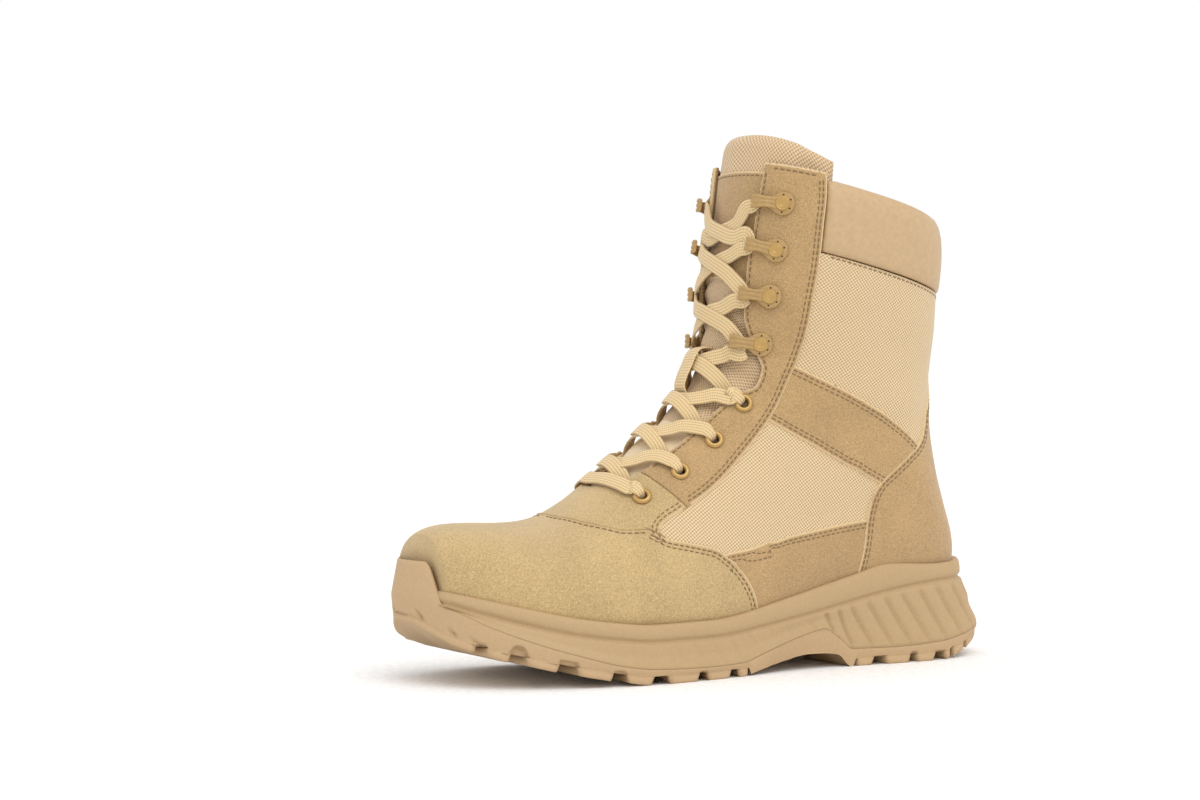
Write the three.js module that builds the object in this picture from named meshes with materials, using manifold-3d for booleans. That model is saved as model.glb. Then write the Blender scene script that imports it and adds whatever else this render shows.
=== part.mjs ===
// A lace-up combat boot for the left foot, with a side zip, made as separate pieces.
// Millimetres, +X towards the toe, +Y towards the outer (lateral) side, +Z up.
// Every table below measures x from the back of the heel seat; the whole boot is then moved so that
// the origin lies on the floor, on the flat tread block under the middle of the heel.
import * as THREE from "three";
import { mergeVertices } from "three/addons/utils/BufferGeometryUtils.js";
import Module from "manifold-3d";

const wasm = await Module();
wasm.setup();

// ---------------------------------------------------------------- driving dimensions
const HEEL_REST_X = 54; // from the heel seat's back to the origin
const GAP = 0.3; // between pieces that touch
const WALL = 2.8; // upper: lining, foam and outer layer together
const INSOLE_THICK = 4;
const TREAD_DEPTH = 4;
const WRAP = 4.5; // how thick the outsole's toe bumper is
const COLLAR_BASE = 19; // section row where the padded collar begins
const COLLAR_TOP = 21; // section row of the top line
const LACE_WIDTH = 7;
const LACE_THICK = 1.5;
const HOOK_COUNT = 4;
const KEEPER_WIDTH = 39;
const KEEPER_HEIGHT = 7;

// Sections of the last, from the toe nose to above the collar. Each lies in a plane across the foot:
// front (fx, fz) is its point on the instep or shin ridge, back (bx, bz) its point on the sole, heel or
// back seam. out and inn are the widest points on the outer and inner side, ridge is where the ridge
// lies across the foot, wide is how far down from the front the widest point is (0 to 1), and
// front_n and back_n square up the two halves (2 is an ellipse).
const SECTION_COLUMNS = ["fx", "fz", "bx", "bz", "out", "inn", "ridge", "wide", "front_n", "back_n"];
const SECTIONS = [
  [298.5, 54.5, 298.5, 50.5, -6, -14, -10, 0.5, 2.0, 2.0],
  [297.9, 60.5, 297.9, 44.5, 4, -23, -10, 0.52, 2.0, 2.1],
  [296.0, 65.8, 296.0, 39.0, 11, -29, -10, 0.54, 2.0, 2.3],
  [291.5, 70.2, 291.5, 33.5, 18, -34, -10, 0.56, 2.1, 2.6],
  [283.0, 73.0, 283.0, 28.5, 26, -39, -9, 0.58, 2.2, 2.8],
  [270.0, 73.6, 270.0, 24.0, 34, -43.5, -8, 0.6, 2.2, 3.0],
  [252.0, 73.4, 250.0, 18.8, 42, -46.5, -7, 0.62, 2.2, 3.0],
  [233.0, 75.6, 226.0, 14.5, 47, -47, -5.5, 0.64, 2.1, 3.0],
  [214.0, 85.0, 198.0, 12.5, 48.8, -45.2, -4, 0.64, 2.0, 3.0],
  [196.0, 99.5, 166.0, 12.0, 47.5, -42, -3, 0.62, 1.95, 3.0],
  [177.0, 115.0, 130.0, 16.0, 44, -39, -2, 0.6, 1.95, 3.0],
  [160.5, 130.0, 92.0, 23.5, 41, -37.5, -1, 0.57, 2.0, 3.0],
  [149.5, 144.0, 52.0, 29.5, 39.5, -37, 0, 0.53, 2.0, 3.0],
  [144.5, 156.5, 17.0, 32.0, 39, -37.5, 0, 0.5, 2.1, 2.9],
  [142.2, 167.5, 2.2, 47.5, 39.5, -38.5, 0, 0.5, 2.2, 2.7],
  [140.4, 178.0, 6.8, 70.0, 40.5, -39.8, 0, 0.5, 2.25, 2.5],
  [138.4, 188.0, 14.4, 96, 42, -41.4, 0, 0.5, 2.3, 2.4],
  [136.4, 197.5, 17.2, 125, 43.5, -43, 0, 0.5, 2.35, 2.3],
  [134.8, 204.5, 14.2, 154, 45, -44.5, 0, 0.5, 2.4, 2.3],
  [133.2, 209.4, 12.6, 181.2, 46, -45.5, 0, 0.5, 2.4, 2.3],
  [130.4, 228.4, 12.2, 201.2, 46.3, -45.8, 0, 0.5, 2.4, 2.3],
  [127.6, 247.4, 12.8, 221.4, 46.3, -45.8, 0, 0.5, 2.4, 2.3],
  [125.0, 266.2, 13.2, 241.2, 46.3, -45.8, 0, 0.5, 2.4, 2.3],
];

// The sole's widest outline seen from above, once round: outer side from the heel's back to the toe,
// then the inner side back to the heel.
const OUTLINE = [
  [-15, 0], [-9.5, 20], [7, 34.5], [30, 40.3], [60, 41], [90, 40], [120, 42.5], [150, 48.5], [180, 53.6],
  [205, 55.4], [230, 53.6], [254, 47.4], [277, 36.5], [294.5, 17.5],
  [303.6, -9], [298.5, -29.5], [285, -43], [265, -51], [240, -54], [213, -52], [182, -45.6], [150, -38.6],
  [117, -35.4], [83, -37.4], [52, -39.8], [26, -39.6], [5, -34], [-10, -19.5],
];
const TOE_POINT = 14; // index of the toe tip in OUTLINE

// Heights along the sole. tread is the bottom of the blocks, deck the midsole's underside at the centre
// line, joint the line where outsole and midsole meet on the side, groove the moulded line round the
// midsole, rim the top of its wall and bed the surface that the upper and insole stand on. tuck is how
// far the rim lies inside the widest outline.
const SOLE_COLUMNS = ["x", "tread", "deck", "joint", "groove", "rim", "bed", "tuck"];
const SOLE = [
  [-16, 12, 15.8, 16.4, 40, 49.8, 36.5, 10.8],
  [0, 7, 12.8, 13.8, 40, 49.2, 36.5, 8.6],
  [14, 2.6, 10.6, 11.4, 39.8, 48.2, 36.4, 6.6],
  [26, 0, 8.8, 9.6, 39.4, 48, 36, 5.2],
  [57, 0, 8.2, 8.3, 36.0, 49.3, 34, 4.4],
  [82, 0, 8.6, 8.7, 31.4, 44, 29.8, 4.2],
  [90, 6.2, 13.6, 14.4, 29.9, 42.1, 28.2, 4.2],
  [99, 7.4, 17.8, 19.3, 28.2, 40.1, 26.6, 4.2],
  [108, 7.6, 16.6, 17.8, 26.7, 38, 25, 4.1],
  [124, 5.4, 13.2, 13.8, 24.3, 34.6, 22, 4.0],
  [143, 1.6, 8.2, 8.6, 21.6, 30.6, 19.2, 3.8],
  [150, 0, 6.6, 6.8, 20.7, 29.4, 18.4, 3.8],
  [166, 0, 6.2, 6.2, 19.6, 27.8, 17.4, 3.8],
  [203, 0, 7.0, 7.2, 19.6, 27.6, 17.4, 3.8],
  [222, 2.4, 9.0, 9.8, 21.4, 29.4, 19.2, 3.8],
  [241, 5.8, 12.2, 14.8, 24.2, 32.2, 22.4, 4.0],
  [260, 10.0, 16.2, 20.8, 28.6, 36.4, 26.8, 4.2],
  [279, 15.0, 21.2, 28.6, 34.0, 41, 31.8, 4.6],
  [292, 20.4, 26.4, 36.0, 38.4, 44.2, 35.6, 5.0],
  [304, 31.0, 33.0, 41, 42.2, 47, 39, 5.4],
];
const BUMPER_TOP = 58.4; // height of the outsole's toe bumper
const BUMPER_BULGE = 41; // height where it stands out furthest
const BUMPER_OUTER = 13; // how far it runs at full height from the toe tip to the outer side
const BUMPER_INNER = 26; // and to the inner side
const BUMPER_FALL = 16.5; // over which its top falls to the sole's side
const BUMPER_LEAN = 3; // how far its top leans back

// Notches between the tread blocks: x at the edge of the sole, width, and the sweep back to the middle.
const NOTCH_COLUMNS = ["x", "width", "sweep"];
const NOTCHES = [
  [9, 3, 4], [28, 8, 4], [45, 5.5, 4], [65.5, 9, 4],
  [156.5, 6, -5], [176, 6, -5], [200.5, 10, -5], [222, 8, -5], [246.5, 10, -5], [268, 8, -4],
];
const NOTCH_REACH = 13; // the uncut rib down the middle is twice this wide

// Rivet and eyelet centres on the outer facing, from the bottom up; the inner ones mirror them.
const EYELETS = [[195.1, 27.7, 85.8], [174.2, 28.2, 97.2], [154.3, 26.9, 112], [136.9, 25.9, 129.2]];
const HOOKS = [[132.6, 34, 157.5], [127.8, 34.2, 180.6], [124.2, 34.4, 203.2], [120.4, 34.8, 225.8]];

// Half the gap between the two facings, at section rows from the vamp point to the top line.
const THROAT_COLUMNS = ["row", "half"];
const THROAT = [
  [8.35, 1], [8.4, 8], [8.55, 14], [8.85, 18.5], [9.4, 21], [10.2, 21.5], [11.2, 21.5], [12.0, 22.5],
  [12.75, 26.5], [13.35, 27], [14.1, 23], [15, 20.5], [17, 20.5], [19, 21], [21, 23], [23, 25],
];

// Facing's rear edge and the zip's centre line, seen from the side.
const FACING_REAR_TOP = [99.2, 245];
const FACING_REAR_LOW = [102.7, 201];
const ZIP_TOP = [50, 240];
const ZIP_LOW = [83, 70];
const ZIP_HALF = 4.6; // half the slit that the zip fills

// ---------------------------------------------------------------- curves and tables
// A natural cubic spline through values at 0, 1, 2 and so on.
function naturalSpline(values) {
  const n = values.length;
  const upper = new Array(n).fill(0);
  const right = new Array(n).fill(0);
  const bend = new Array(n).fill(0);
  for (let i = 1; i < n - 1; i++) {
    const pivot = 4 - upper[i - 1];
    upper[i] = 1 / pivot;
    right[i] = (6 * (values[i + 1] - 2 * values[i] + values[i - 1]) - right[i - 1]) / pivot;
  }
  for (let i = n - 2; i > 0; i--) bend[i] = right[i] - upper[i] * bend[i + 1];
  return (t) => {
    const i = Math.min(Math.max(Math.floor(t), 0), n - 2);
    const b = t - i;
    const a = 1 - b;
    const line = a * values[i] + b * values[i + 1];
    return line + ((a ** 3 - a) * bend[i] + (b ** 3 - b) * bend[i + 1]) / 6;
  };
}

// A smooth curve through (x, y) pairs that never overshoots them, so equal neighbours stay level.
function levelSpline(xs, ys) {
  const n = xs.length;
  const slope = (i) => (ys[i + 1] - ys[i]) / (xs[i + 1] - xs[i]);
  const tangent = ys.map((_, i) => {
    if (i === 0) return slope(0);
    if (i === n - 1) return slope(n - 2);
    const before = slope(i - 1);
    const after = slope(i);
    return before * after <= 0 ? 0 : (2 * before * after) / (before + after);
  });
  return (x) => {
    const clamped = Math.min(Math.max(x, xs[0]), xs[n - 1]);
    let i = 0;
    while (i < n - 2 && clamped > xs[i + 1]) i++;
    const span = xs[i + 1] - xs[i];
    const t = (clamped - xs[i]) / span;
    const s = t * t * (3 - 2 * t);
    const rise = t * (1 - t) * (1 - t) * span * tangent[i] - t * t * (1 - t) * span * tangent[i + 1];
    return ys[i] * (1 - s) + ys[i + 1] * s + rise;
  };
}

const sectionSplines = Object.fromEntries(
  SECTION_COLUMNS.map((name, column) => [name, naturalSpline(SECTIONS.map((row) => row[column]))]),
);
const sole = Object.fromEntries(
  SOLE_COLUMNS.slice(1).map((name, i) => [
    name,
    levelSpline(SOLE.map((row) => row[0]), SOLE.map((row) => row[i + 1])),
  ]),
);
const throatHalf = levelSpline(THROAT.map((row) => row[0]), THROAT.map((row) => row[1]));
const smooth = (t) => {
  const c = Math.min(Math.max(t, 0), 1);
  return c * c * (3 - 2 * c);
};
const mix = (a, b, t) => a + (b - a) * t;

// ---------------------------------------------------------------- the last's surface
// A point of the upper's outer surface. row runs along SECTIONS; turn runs once round a section from
// the ridge (0) by the outer side (0.25) and the sole or back seam (0.5) to the inner side (0.75).
function lastPoint(row, turn) {
  const k = {};
  for (const name of SECTION_COLUMNS) k[name] = sectionSplines[name](row);
  const c = Math.cos(2 * Math.PI * turn);
  const s = Math.sin(2 * Math.PI * turn);
  const power = 2 / (c > 0 ? k.front_n : k.back_n);
  const along = c > 0 ? k.wide * (1 - c ** power) : k.wide + (1 - k.wide) * Math.abs(c) ** power;
  const middle = mix((k.out + k.inn) / 2, k.ridge, smooth(c + 0.5));
  const side = s > 0 ? k.out : k.inn;
  return new THREE.Vector3(
    mix(k.fx, k.bx, along),
    middle + (side - middle) * Math.abs(s) ** power,
    mix(k.fz, k.bz, along),
  );
}

function lastNormal(row, turn) {
  const du = 0.02;
  const dv = 0.003;
  const alongRow = lastPoint(row + du, turn).sub(lastPoint(row - du, turn));
  const alongTurn = lastPoint(row, turn + dv).sub(lastPoint(row, turn - dv));
  return alongTurn.cross(alongRow).normalize();
}

const offsetPoint = (row, turn, offset) =>
  lastPoint(row, turn).addScaledVector(lastNormal(row, turn), offset);

// The turn at which a section's front half is y from the ridge.
function turnAt(row, y) {
  let low = 0;
  let high = 0.25;
  const sign = Math.sign(y) || 1;
  const ridge = sectionSplines.ridge(row);
  for (let i = 0; i < 30; i++) {
    const turn = (low + high) / 2;
    if (Math.abs(lastPoint(row, sign * turn).y - ridge) < Math.abs(y)) low = turn;
    else high = turn;
  }
  return (sign * (low + high)) / 2;
}

// Row and turn of the surface point nearest to a point.
function nearest(target, lateral) {
  let best = { distance: Infinity };
  const attempt = (row, turn) => {
    const distance = lastPoint(row, turn).distanceTo(target);
    if (distance < best.distance) best = { row, turn, distance };
  };
  for (let row = 6; row <= 21; row += 0.5)
    for (let turn = 0.02; turn < 0.5; turn += 0.02) attempt(row, lateral ? turn : -turn);
  for (let step = 0.25; step > 1e-4; step /= 2)
    for (let i = 0; i < 4; i++) {
      const { row, turn } = best;
      const moves = [[1, 0], [-1, 0], [0, 1], [0, -1]];
      for (const [a, b] of moves) attempt(row + a * step, turn + b * step * 0.1);
    }
  return best;
}

// ---------------------------------------------------------------- solids
// A closed geometry through rings of points, all with the same count, capped at both ends.
function loft(rings, stripCaps = false) {
  const count = rings[0].length;
  const points = rings.flat();
  const index = [];
  for (let i = 0; i + 1 < rings.length; i++)
    for (let j = 0; j < count; j++) {
      const a = i * count + j;
      const b = i * count + ((j + 1) % count);
      index.push(a, b, b + count, a, b + count, a + count);
    }
  const cap = (start, flip) => {
    const push = (a, b, c) => index.push(...(flip ? [a, c, b] : [a, b, c]));
    if (stripCaps) {
      for (let j = 0; j < count / 2; j++) {
        const [a, b] = [start + j, start + j + 1];
        const [d, e] = [start + ((count - j) % count), start + count - j - 1];
        if (j > 0) push(a, d, b);
        if (b !== e) push(d, e, b);
      }
      return;
    }
    const centre = new THREE.Vector3();
    for (let j = 0; j < count; j++) centre.addScaledVector(points[start + j], 1 / count);
    points.push(centre);
    for (let j = 0; j < count; j++) push(points.length - 1, start + ((j + 1) % count), start + j);
  };
  cap(0, false);
  cap((rings.length - 1) * count, true);
  const geometry = new THREE.BufferGeometry().setFromPoints(points);
  geometry.setIndex(index);
  return geometry;
}

// A manifold-3d solid from a geometry, with its faces turned outwards.
function solid(geometry) {
  const bare = geometry.index ? geometry.toNonIndexed() : geometry.clone();
  bare.deleteAttribute("normal");
  bare.deleteAttribute("uv");
  const merged = mergeVertices(bare, 1e-4);
  const make = (triVerts) =>
    new wasm.Manifold(
      new wasm.Mesh({ numProp: 3, vertProperties: merged.attributes.position.array, triVerts }),
    );
  const made = make(new Uint32Array(merged.index.array));
  return made.volume() > 0 ? made : make(new Uint32Array(merged.index.array).reverse());
}

function geometryOf(body) {
  const mesh = body.getMesh();
  const geometry = new THREE.BufferGeometry();
  geometry.setAttribute("position", new THREE.BufferAttribute(new Float32Array(mesh.vertProperties), 3));
  geometry.setIndex(new THREE.BufferAttribute(new Uint32Array(mesh.triVerts), 1));
  geometry.computeVertexNormals();
  return geometry;
}

// The last as one closed solid, moved outwards by offset. Moved inwards, it begins a little behind the
// nose, where the sections are wide enough to shrink.
const LAST_ROWS = 27;
const LAST_TURNS = 24;
const INNER_NOSE = 2.2;
function lastSolid(offset) {
  const rings = [];
  const firstRow = offset < -1 ? INNER_NOSE : 0;
  for (let i = 0; i <= LAST_ROWS; i++) {
    const row = mix(firstRow, COLLAR_TOP + (offset < 0 ? 0.3 : 0), i / LAST_ROWS);
    const ring = [];
    for (let j = 0; j < LAST_TURNS; j++) ring.push(offsetPoint(row, j / LAST_TURNS, offset));
    rings.push(ring);
  }
  return solid(loft(rings));
}

// A patch of the last's surface as a solid. rows lists the section rows; span(row) gives the first and
// last turn; low and high are its offsets.
function patch(rows, span, steps, low, high) {
  return solid(
    loft(
      rows.map((row) => {
        const [first, last] = span(row);
        const ring = [];
        for (let j = 0; j <= steps; j++) ring.push(offsetPoint(row, mix(first, last, j / steps), high));
        for (let j = steps; j >= 0; j--) ring.push(offsetPoint(row, mix(first, last, j / steps), low));
        return ring;
      }),
    ),
  );
}

// A prism whose outline is given from the side as (x, z), from y0 to y1.
function sidePrism(outline, y0, y1) {
  const shape = new THREE.Shape(outline.map(([x, z]) => new THREE.Vector2(x, z)));
  const geometry = new THREE.ExtrudeGeometry(shape, { depth: y1 - y0, bevelEnabled: false });
  return solid(geometry.rotateX(Math.PI / 2).translate(0, y1, 0));
}

// Everything under the footbed, raised by lift.
function belowBed(lift) {
  const outline = [[330, -20], [-40, -20]];
  for (let x = -40; x <= 330; x += 10) outline.push([x, sole.bed(x) + lift]);
  return sidePrism(outline, -90, 90);
}

// ---------------------------------------------------------------- the sole's outline
const RING_HALF = 22; // points on each side of the outline
function outlineRing() {
  const at = (curve, t) => {
    const p = curve.getPointAt(t);
    const q = curve.getTangentAt(t);
    return { x: p.x, y: p.y, nx: q.y, ny: -q.x };
  };
  const points = OUTLINE.map(([x, y]) => new THREE.Vector3(x, y, 0));
  const curve = new THREE.CatmullRomCurve3(points, true, "catmullrom", 0.5);
  curve.arcLengthDivisions = 2000;
  const total = curve.getLength();
  const lengths = curve.getLengths(curve.arcLengthDivisions);
  const toe = lengths[Math.round((TOE_POINT / OUTLINE.length) * curve.arcLengthDivisions)] / total;
  const ring = [];
  for (let i = 0; i < 2 * RING_HALF; i++) {
    const t = i < RING_HALF ? (toe * i) / RING_HALF : toe + ((1 - toe) * (i - RING_HALF)) / RING_HALF;
    const p = at(curve, t);
    p.fromToe = Math.abs(t - toe) * total;
    // the curve runs heel, outer side, toe: its right-hand normal points inwards, so turn it round
    p.nx = -p.nx;
    p.ny = -p.ny;
    ring.push(p);
  }
  return ring;
}
const ring = outlineRing();
const toeTipY = OUTLINE[TOE_POINT][1];
const bumper = (p) => 1 - smooth((p.fromToe - (p.y < toeTipY ? BUMPER_INNER : BUMPER_OUTER)) / BUMPER_FALL);

// A ring round the sole: inset(p) inwards, at height(x, p).
const levelRing = (inset, height) =>
  ring.map((p) => {
    const d = inset(p);
    const x = p.x - p.nx * d;
    return new THREE.Vector3(x, p.y - p.ny * d, height(x, p));
  });

function midsoleForm(grow) {
  const wrap = (p) => WRAP * bumper(p) - grow;
  const tuck = (p) => sole.tuck(p.x);
  return solid(
    loft(
      [
        levelRing((p) => wrap(p) + 4, (x) => sole.deck(x) - grow),
        levelRing((p) => wrap(p), (x) => sole.joint(x) - grow),
        levelRing((p) => wrap(p) + tuck(p) * 0.45, (x) => mix(sole.joint(x), sole.groove(x), 0.6)),
        levelRing((p) => wrap(p) + tuck(p) - 1.6, (x) => sole.groove(x) - 1.6),
        levelRing((p) => wrap(p) + tuck(p), (x) => sole.groove(x)),
        levelRing((p) => wrap(p) + tuck(p) - 0.9, (x) => sole.groove(x) + 2),
        levelRing((p) => wrap(p) + tuck(p) - 0.6, (x) => sole.rim(x) - 2.5),
        levelRing((p) => wrap(p) + tuck(p) + 0.8, (x) => sole.rim(x) - 0.2),
        levelRing((p) => wrap(p) + tuck(p) + 2.4, (x) => sole.rim(x) + grow),
      ],
      true,
    ),
  );
}

function outsoleForm() {
  const top = (x, p) => mix(sole.joint(x), BUMPER_TOP, bumper(p));
  return solid(
    loft(
      [
        levelRing(() => 2.6, (x) => sole.tread(x)),
        levelRing(() => 0.8, (x, p) => mix(mix(sole.tread(x), sole.joint(x), 0.45), 32, bumper(p))),
        levelRing(() => 0, (x, p) => mix(sole.joint(x) - 0.4, BUMPER_BULGE, bumper(p))),
        levelRing((p) => BUMPER_LEAN * 0.45 * bumper(p), (x, p) => mix(top(x, p) - 0.2, 52, bumper(p))),
        levelRing((p) => BUMPER_LEAN * bumper(p), top),
      ],
      true,
    ),
  );
}

// One notch on each side of the middle rib.
function notchCutters({ x, width, sweep }) {
  const reach = 40;
  const height = 12;
  return [1, -1].map((side) => {
    const box = new THREE.BoxGeometry(width, reach, height);
    box.rotateZ(side * Math.atan2(sweep, reach));
    const z = sole.tread(x) + TREAD_DEPTH - height / 2;
    return solid(box.translate(x + sweep / 2, side * (NOTCH_REACH + reach / 2), z));
  });
}

// ---------------------------------------------------------------- small hardware
// Flange and barrel of an eyelet, along +Z, its flange resting at z = 0.
function eyeletGeometry() {
  const profile = [
    [2.4, 1.0], [3.4, 1.5], [4.9, 0], [3.1, 0], [3.1, -WALL - 0.4], [2.4, -WALL - 0.4],
  ].map(([r, z]) => new THREE.Vector2(r, z));
  profile.push(profile[0].clone());
  return geometryOf(solid(new THREE.LatheGeometry(profile, 8).rotateX(Math.PI / 2)));
}

// A riveted lace hook along +Z: a round foot with a rivet, and a bridge towards -X for the lace.
const HOOK_REACH = 15.5;
function hookGeometry() {
  const disc = (radius, height, z) => {
    const cylinder = new THREE.CylinderGeometry(radius, radius, height, 8).rotateX(Math.PI / 2);
    return solid(cylinder.translate(0, 0, z + height / 2));
  };
  const side = new THREE.Shape(
    [
      [2, 0], [-3, 0], [-6.5, 2.6], [-11.5, 3.0], [-13.6, 2.4], [-14.2, 0.2], [-HOOK_REACH, 0.2],
      [-HOOK_REACH + 0.2, 3.0], [-12.5, 4.3], [-6, 4.0], [-1, 1.6], [2, 1.6],
    ].map(([x, z]) => new THREE.Vector2(x, z)),
  );
  const bridge = new THREE.ExtrudeGeometry(side, { depth: 6.4, bevelEnabled: false });
  const arm = solid(bridge.rotateX(Math.PI / 2).translate(0, 3.2, 0));
  return geometryOf(disc(5.6, 1.5, 0).add(disc(3.7, 1.4, 1.4)).add(arm));
}

// Places a mesh on the last's surface: +Z out of it, -X across the throat, towards the other side.
function standOn(mesh, { row, turn }, lift) {
  const out = lastNormal(row, turn);
  const up = lastPoint(row + 0.05, turn).sub(lastPoint(row - 0.05, turn));
  const lateral = turn > 0 ? 1 : -1;
  const y = up.addScaledVector(out, -up.dot(out)).normalize();
  const x = new THREE.Vector3().crossVectors(y, out);
  if (x.y * lateral < 0) {
    x.negate();
    y.negate();
  }
  mesh.quaternion.setFromRotationMatrix(new THREE.Matrix4().makeBasis(x, y, out));
  mesh.position.copy(lastPoint(row, turn)).addScaledVector(out, lift);
  return mesh;
}

// ---------------------------------------------------------------- pieces
const eyeletSpots = [true, false].flatMap((lateral) =>
  EYELETS.map(([x, y, z], i) => ({
    name: `eyelet_${lateral ? "outer" : "inner"}_${i + 1}`,
    ...nearest(new THREE.Vector3(x, lateral ? y : -y, z), lateral),
  })),
);
const hookSpots = [true, false].flatMap((lateral) =>
  HOOKS.map(([x, y, z], i) => {
    const spot = nearest(new THREE.Vector3(x, lateral ? y : -y, z), lateral);
    const placed = standOn(new THREE.Object3D(), spot, 0);
    placed.updateMatrix();
    const tip = new THREE.Vector3(-HOOK_REACH, 0, 0).applyMatrix4(placed.matrix);
    const name = `hook_${lateral ? "outer" : "inner"}_${i + 1}`;
    return { name, ...spot, tipRow: nearest(tip, lateral).row };
  }),
);

// The slit for the zip, or the zip itself when half is smaller, on the inner side only.
function zipPrism(half, extra = 0) {
  const dx = ZIP_LOW[0] - ZIP_TOP[0];
  const dz = ZIP_LOW[1] - ZIP_TOP[1];
  const length = Math.hypot(dx, dz);
  const nx = (-dz / length) * half;
  const nz = (dx / length) * half;
  const ex = (dx / length) * extra;
  const ez = (dz / length) * extra;
  return sidePrism(
    [
      [ZIP_TOP[0] + nx - ex, ZIP_TOP[1] + nz - ez], [ZIP_LOW[0] + nx + ex, ZIP_LOW[1] + nz + ez],
      [ZIP_LOW[0] - nx + ex, ZIP_LOW[1] - nz + ez], [ZIP_TOP[0] - nx - ex, ZIP_TOP[1] - nz - ez],
    ],
    -80,
    -12,
  );
}

// The space behind the facings and above the collar's lower line.
function collarSpace(gap) {
  const [, , backX, backZ] = SECTIONS[COLLAR_BASE];
  const slope = (FACING_REAR_LOW[1] - backZ) / (FACING_REAR_LOW[0] - backX);
  const low = (x) => backZ + slope * (x - backX) + gap;
  return sidePrism(
    [
      [-30, low(-30)], [FACING_REAR_LOW[0] - gap, low(FACING_REAR_LOW[0])],
      [FACING_REAR_TOP[0] - gap, FACING_REAR_TOP[1]], [FACING_REAR_TOP[0] - gap, 300], [-30, 300],
    ],
    -90,
    90,
  );
}

const throatRows = [];
for (let row = THROAT[0][0]; row < 23; row += row < 8.9 ? 0.12 : 0.7) throatRows.push(row);
const throatSpan = (row) => [turnAt(row, -throatHalf(row)), turnAt(row, throatHalf(row))];

function upperSolid() {
  let body = lastSolid(0).subtract(lastSolid(-WALL));
  body = body.subtract(patch(throatRows, throatSpan, 6, -9, 6));
  body = body.subtract(belowBed(GAP)).subtract(collarSpace(0));
  body = body.subtract(zipPrism(ZIP_HALF, 30).subtract(belowZip()));
  const hole = new THREE.CylinderGeometry(3.7, 3.7, 12, 8).rotateX(Math.PI / 2);
  for (const spot of eyeletSpots) {
    const placed = standOn(new THREE.Mesh(hole), spot, 0);
    placed.updateMatrix();
    body = body.subtract(solid(hole.clone().applyMatrix4(placed.matrix)));
  }
  return body;
}

// Keeps the zip's slit from running on below its lower end.
const belowZip = () => sidePrism([[-30, -30], [200, -30], [200, ZIP_LOW[1]], [-30, ZIP_LOW[1]]], -90, 90);

// The padded collar: a rounded pad that stands on the upper's cut edge, from turn first to turn last.
const COLLAR_PAD = [
  [0.01, 0.1], [0.12, 0.8], [0.4, 1.4], [0.68, 1.2], [0.87, -0.4], [0.92, -3.2], [0.87, -6.6], [0.62, -8.6],
  [0.32, -8.2], [0.1, -6.2], [0.01, -4.6],
]; // height as a share of the collar's, and how far out of the last's surface
function collarSolid(first, last, steps) {
  const rings = [];
  for (let i = 0; i <= steps; i++) {
    const turn = mix(first, last, i / steps);
    const fromEnd = Math.min(i, steps - i) / steps;
    const full = smooth(0.25 + 6 * fromEnd);
    rings.push(
      COLLAR_PAD.map(([share, out]) => {
        const row = mix(COLLAR_BASE, COLLAR_TOP - 0.08 * (1 - full), share);
        return offsetPoint(row, turn, out > -4 ? out * full : mix(-3.4, out, full));
      }),
    );
  }
  return solid(loft(rings));
}

// The padded tongue, from under the vamp point to above the top line.
const TONGUE_FOOT = 8; // section row where it begins, under the vamp
const TONGUE_ROWS = 17;
const TONGUE_ACROSS = 10;
const WING_TUCK = 6.4; // how far its wings lie further in, behind the collar
function tongueSolid() {
  const rings = [];
  for (let i = 0; i <= TONGUE_ROWS; i++) {
    const along = i / TONGUE_ROWS;
    const ringPoints = [];
    for (const side of [1, -1])
      for (let j = 0; j <= TONGUE_ACROSS; j++) {
        const w = (side * (2 * j - TONGUE_ACROSS)) / TONGUE_ACROSS;
        const top = COLLAR_TOP + 0.72 - 0.34 * w * w;
        const row = mix(TONGUE_FOOT, top, 1 - (1 - along) ** 1.6);
        const turn = w * mix(0.085, 0.19, smooth((row - TONGUE_FOOT) / 5));
        const pad = smooth((row - 18.4) / 2);
        const wing = smooth((Math.abs(turn) - 0.12) / 0.03) * smooth((row - 17.4) / 1.2);
        const crown = Math.sqrt(Math.max(0, 1 - Math.abs(w) ** 6));
        const roof = Math.sqrt(Math.max(0, 1 - Math.max(0, (row - top) / 0.35 + 1) ** 2));
        const outer = -WALL - 1 - WING_TUCK * wing;
        const thick = mix(2.6, 8.5 - 3 * wing, pad);
        const middle = outer - thick / 2;
        const half = (thick / 2) * Math.max(0.16, crown * roof);
        ringPoints.push(offsetPoint(row, turn, middle + side * half));
      }
    rings.push(ringPoints);
  }
  return solid(loft(rings));
}

// ---------------------------------------------------------------- laces
// A flat cord as a closed solid through points, lying flat to the given outward directions.
function ribbon(points, outward) {
  const curve = new THREE.CatmullRomCurve3(points);
  const steps = points.length + 1;
  const rings = [];
  for (let i = 0; i <= steps; i++) {
    const t = i / steps;
    const place = curve.getPoint(t);
    const along = curve.getTangent(t);
    const pick = Math.min(t * (outward.length - 1), outward.length - 1.001);
    const k = Math.floor(pick);
    const up = outward[k].clone().lerp(outward[k + 1], pick - k);
    const across = new THREE.Vector3().crossVectors(along, up).normalize();
    up.crossVectors(across, along).normalize();
    rings.push(
      [[1, 1], [-1, 1], [-1, -1], [1, -1]].map(([a, b]) =>
        place.clone().addScaledVector(across, (a * LACE_WIDTH) / 2).addScaledVector(up, (b * LACE_THICK) / 2),
      ),
    );
  }
  return solid(loft(rings));
}

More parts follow.
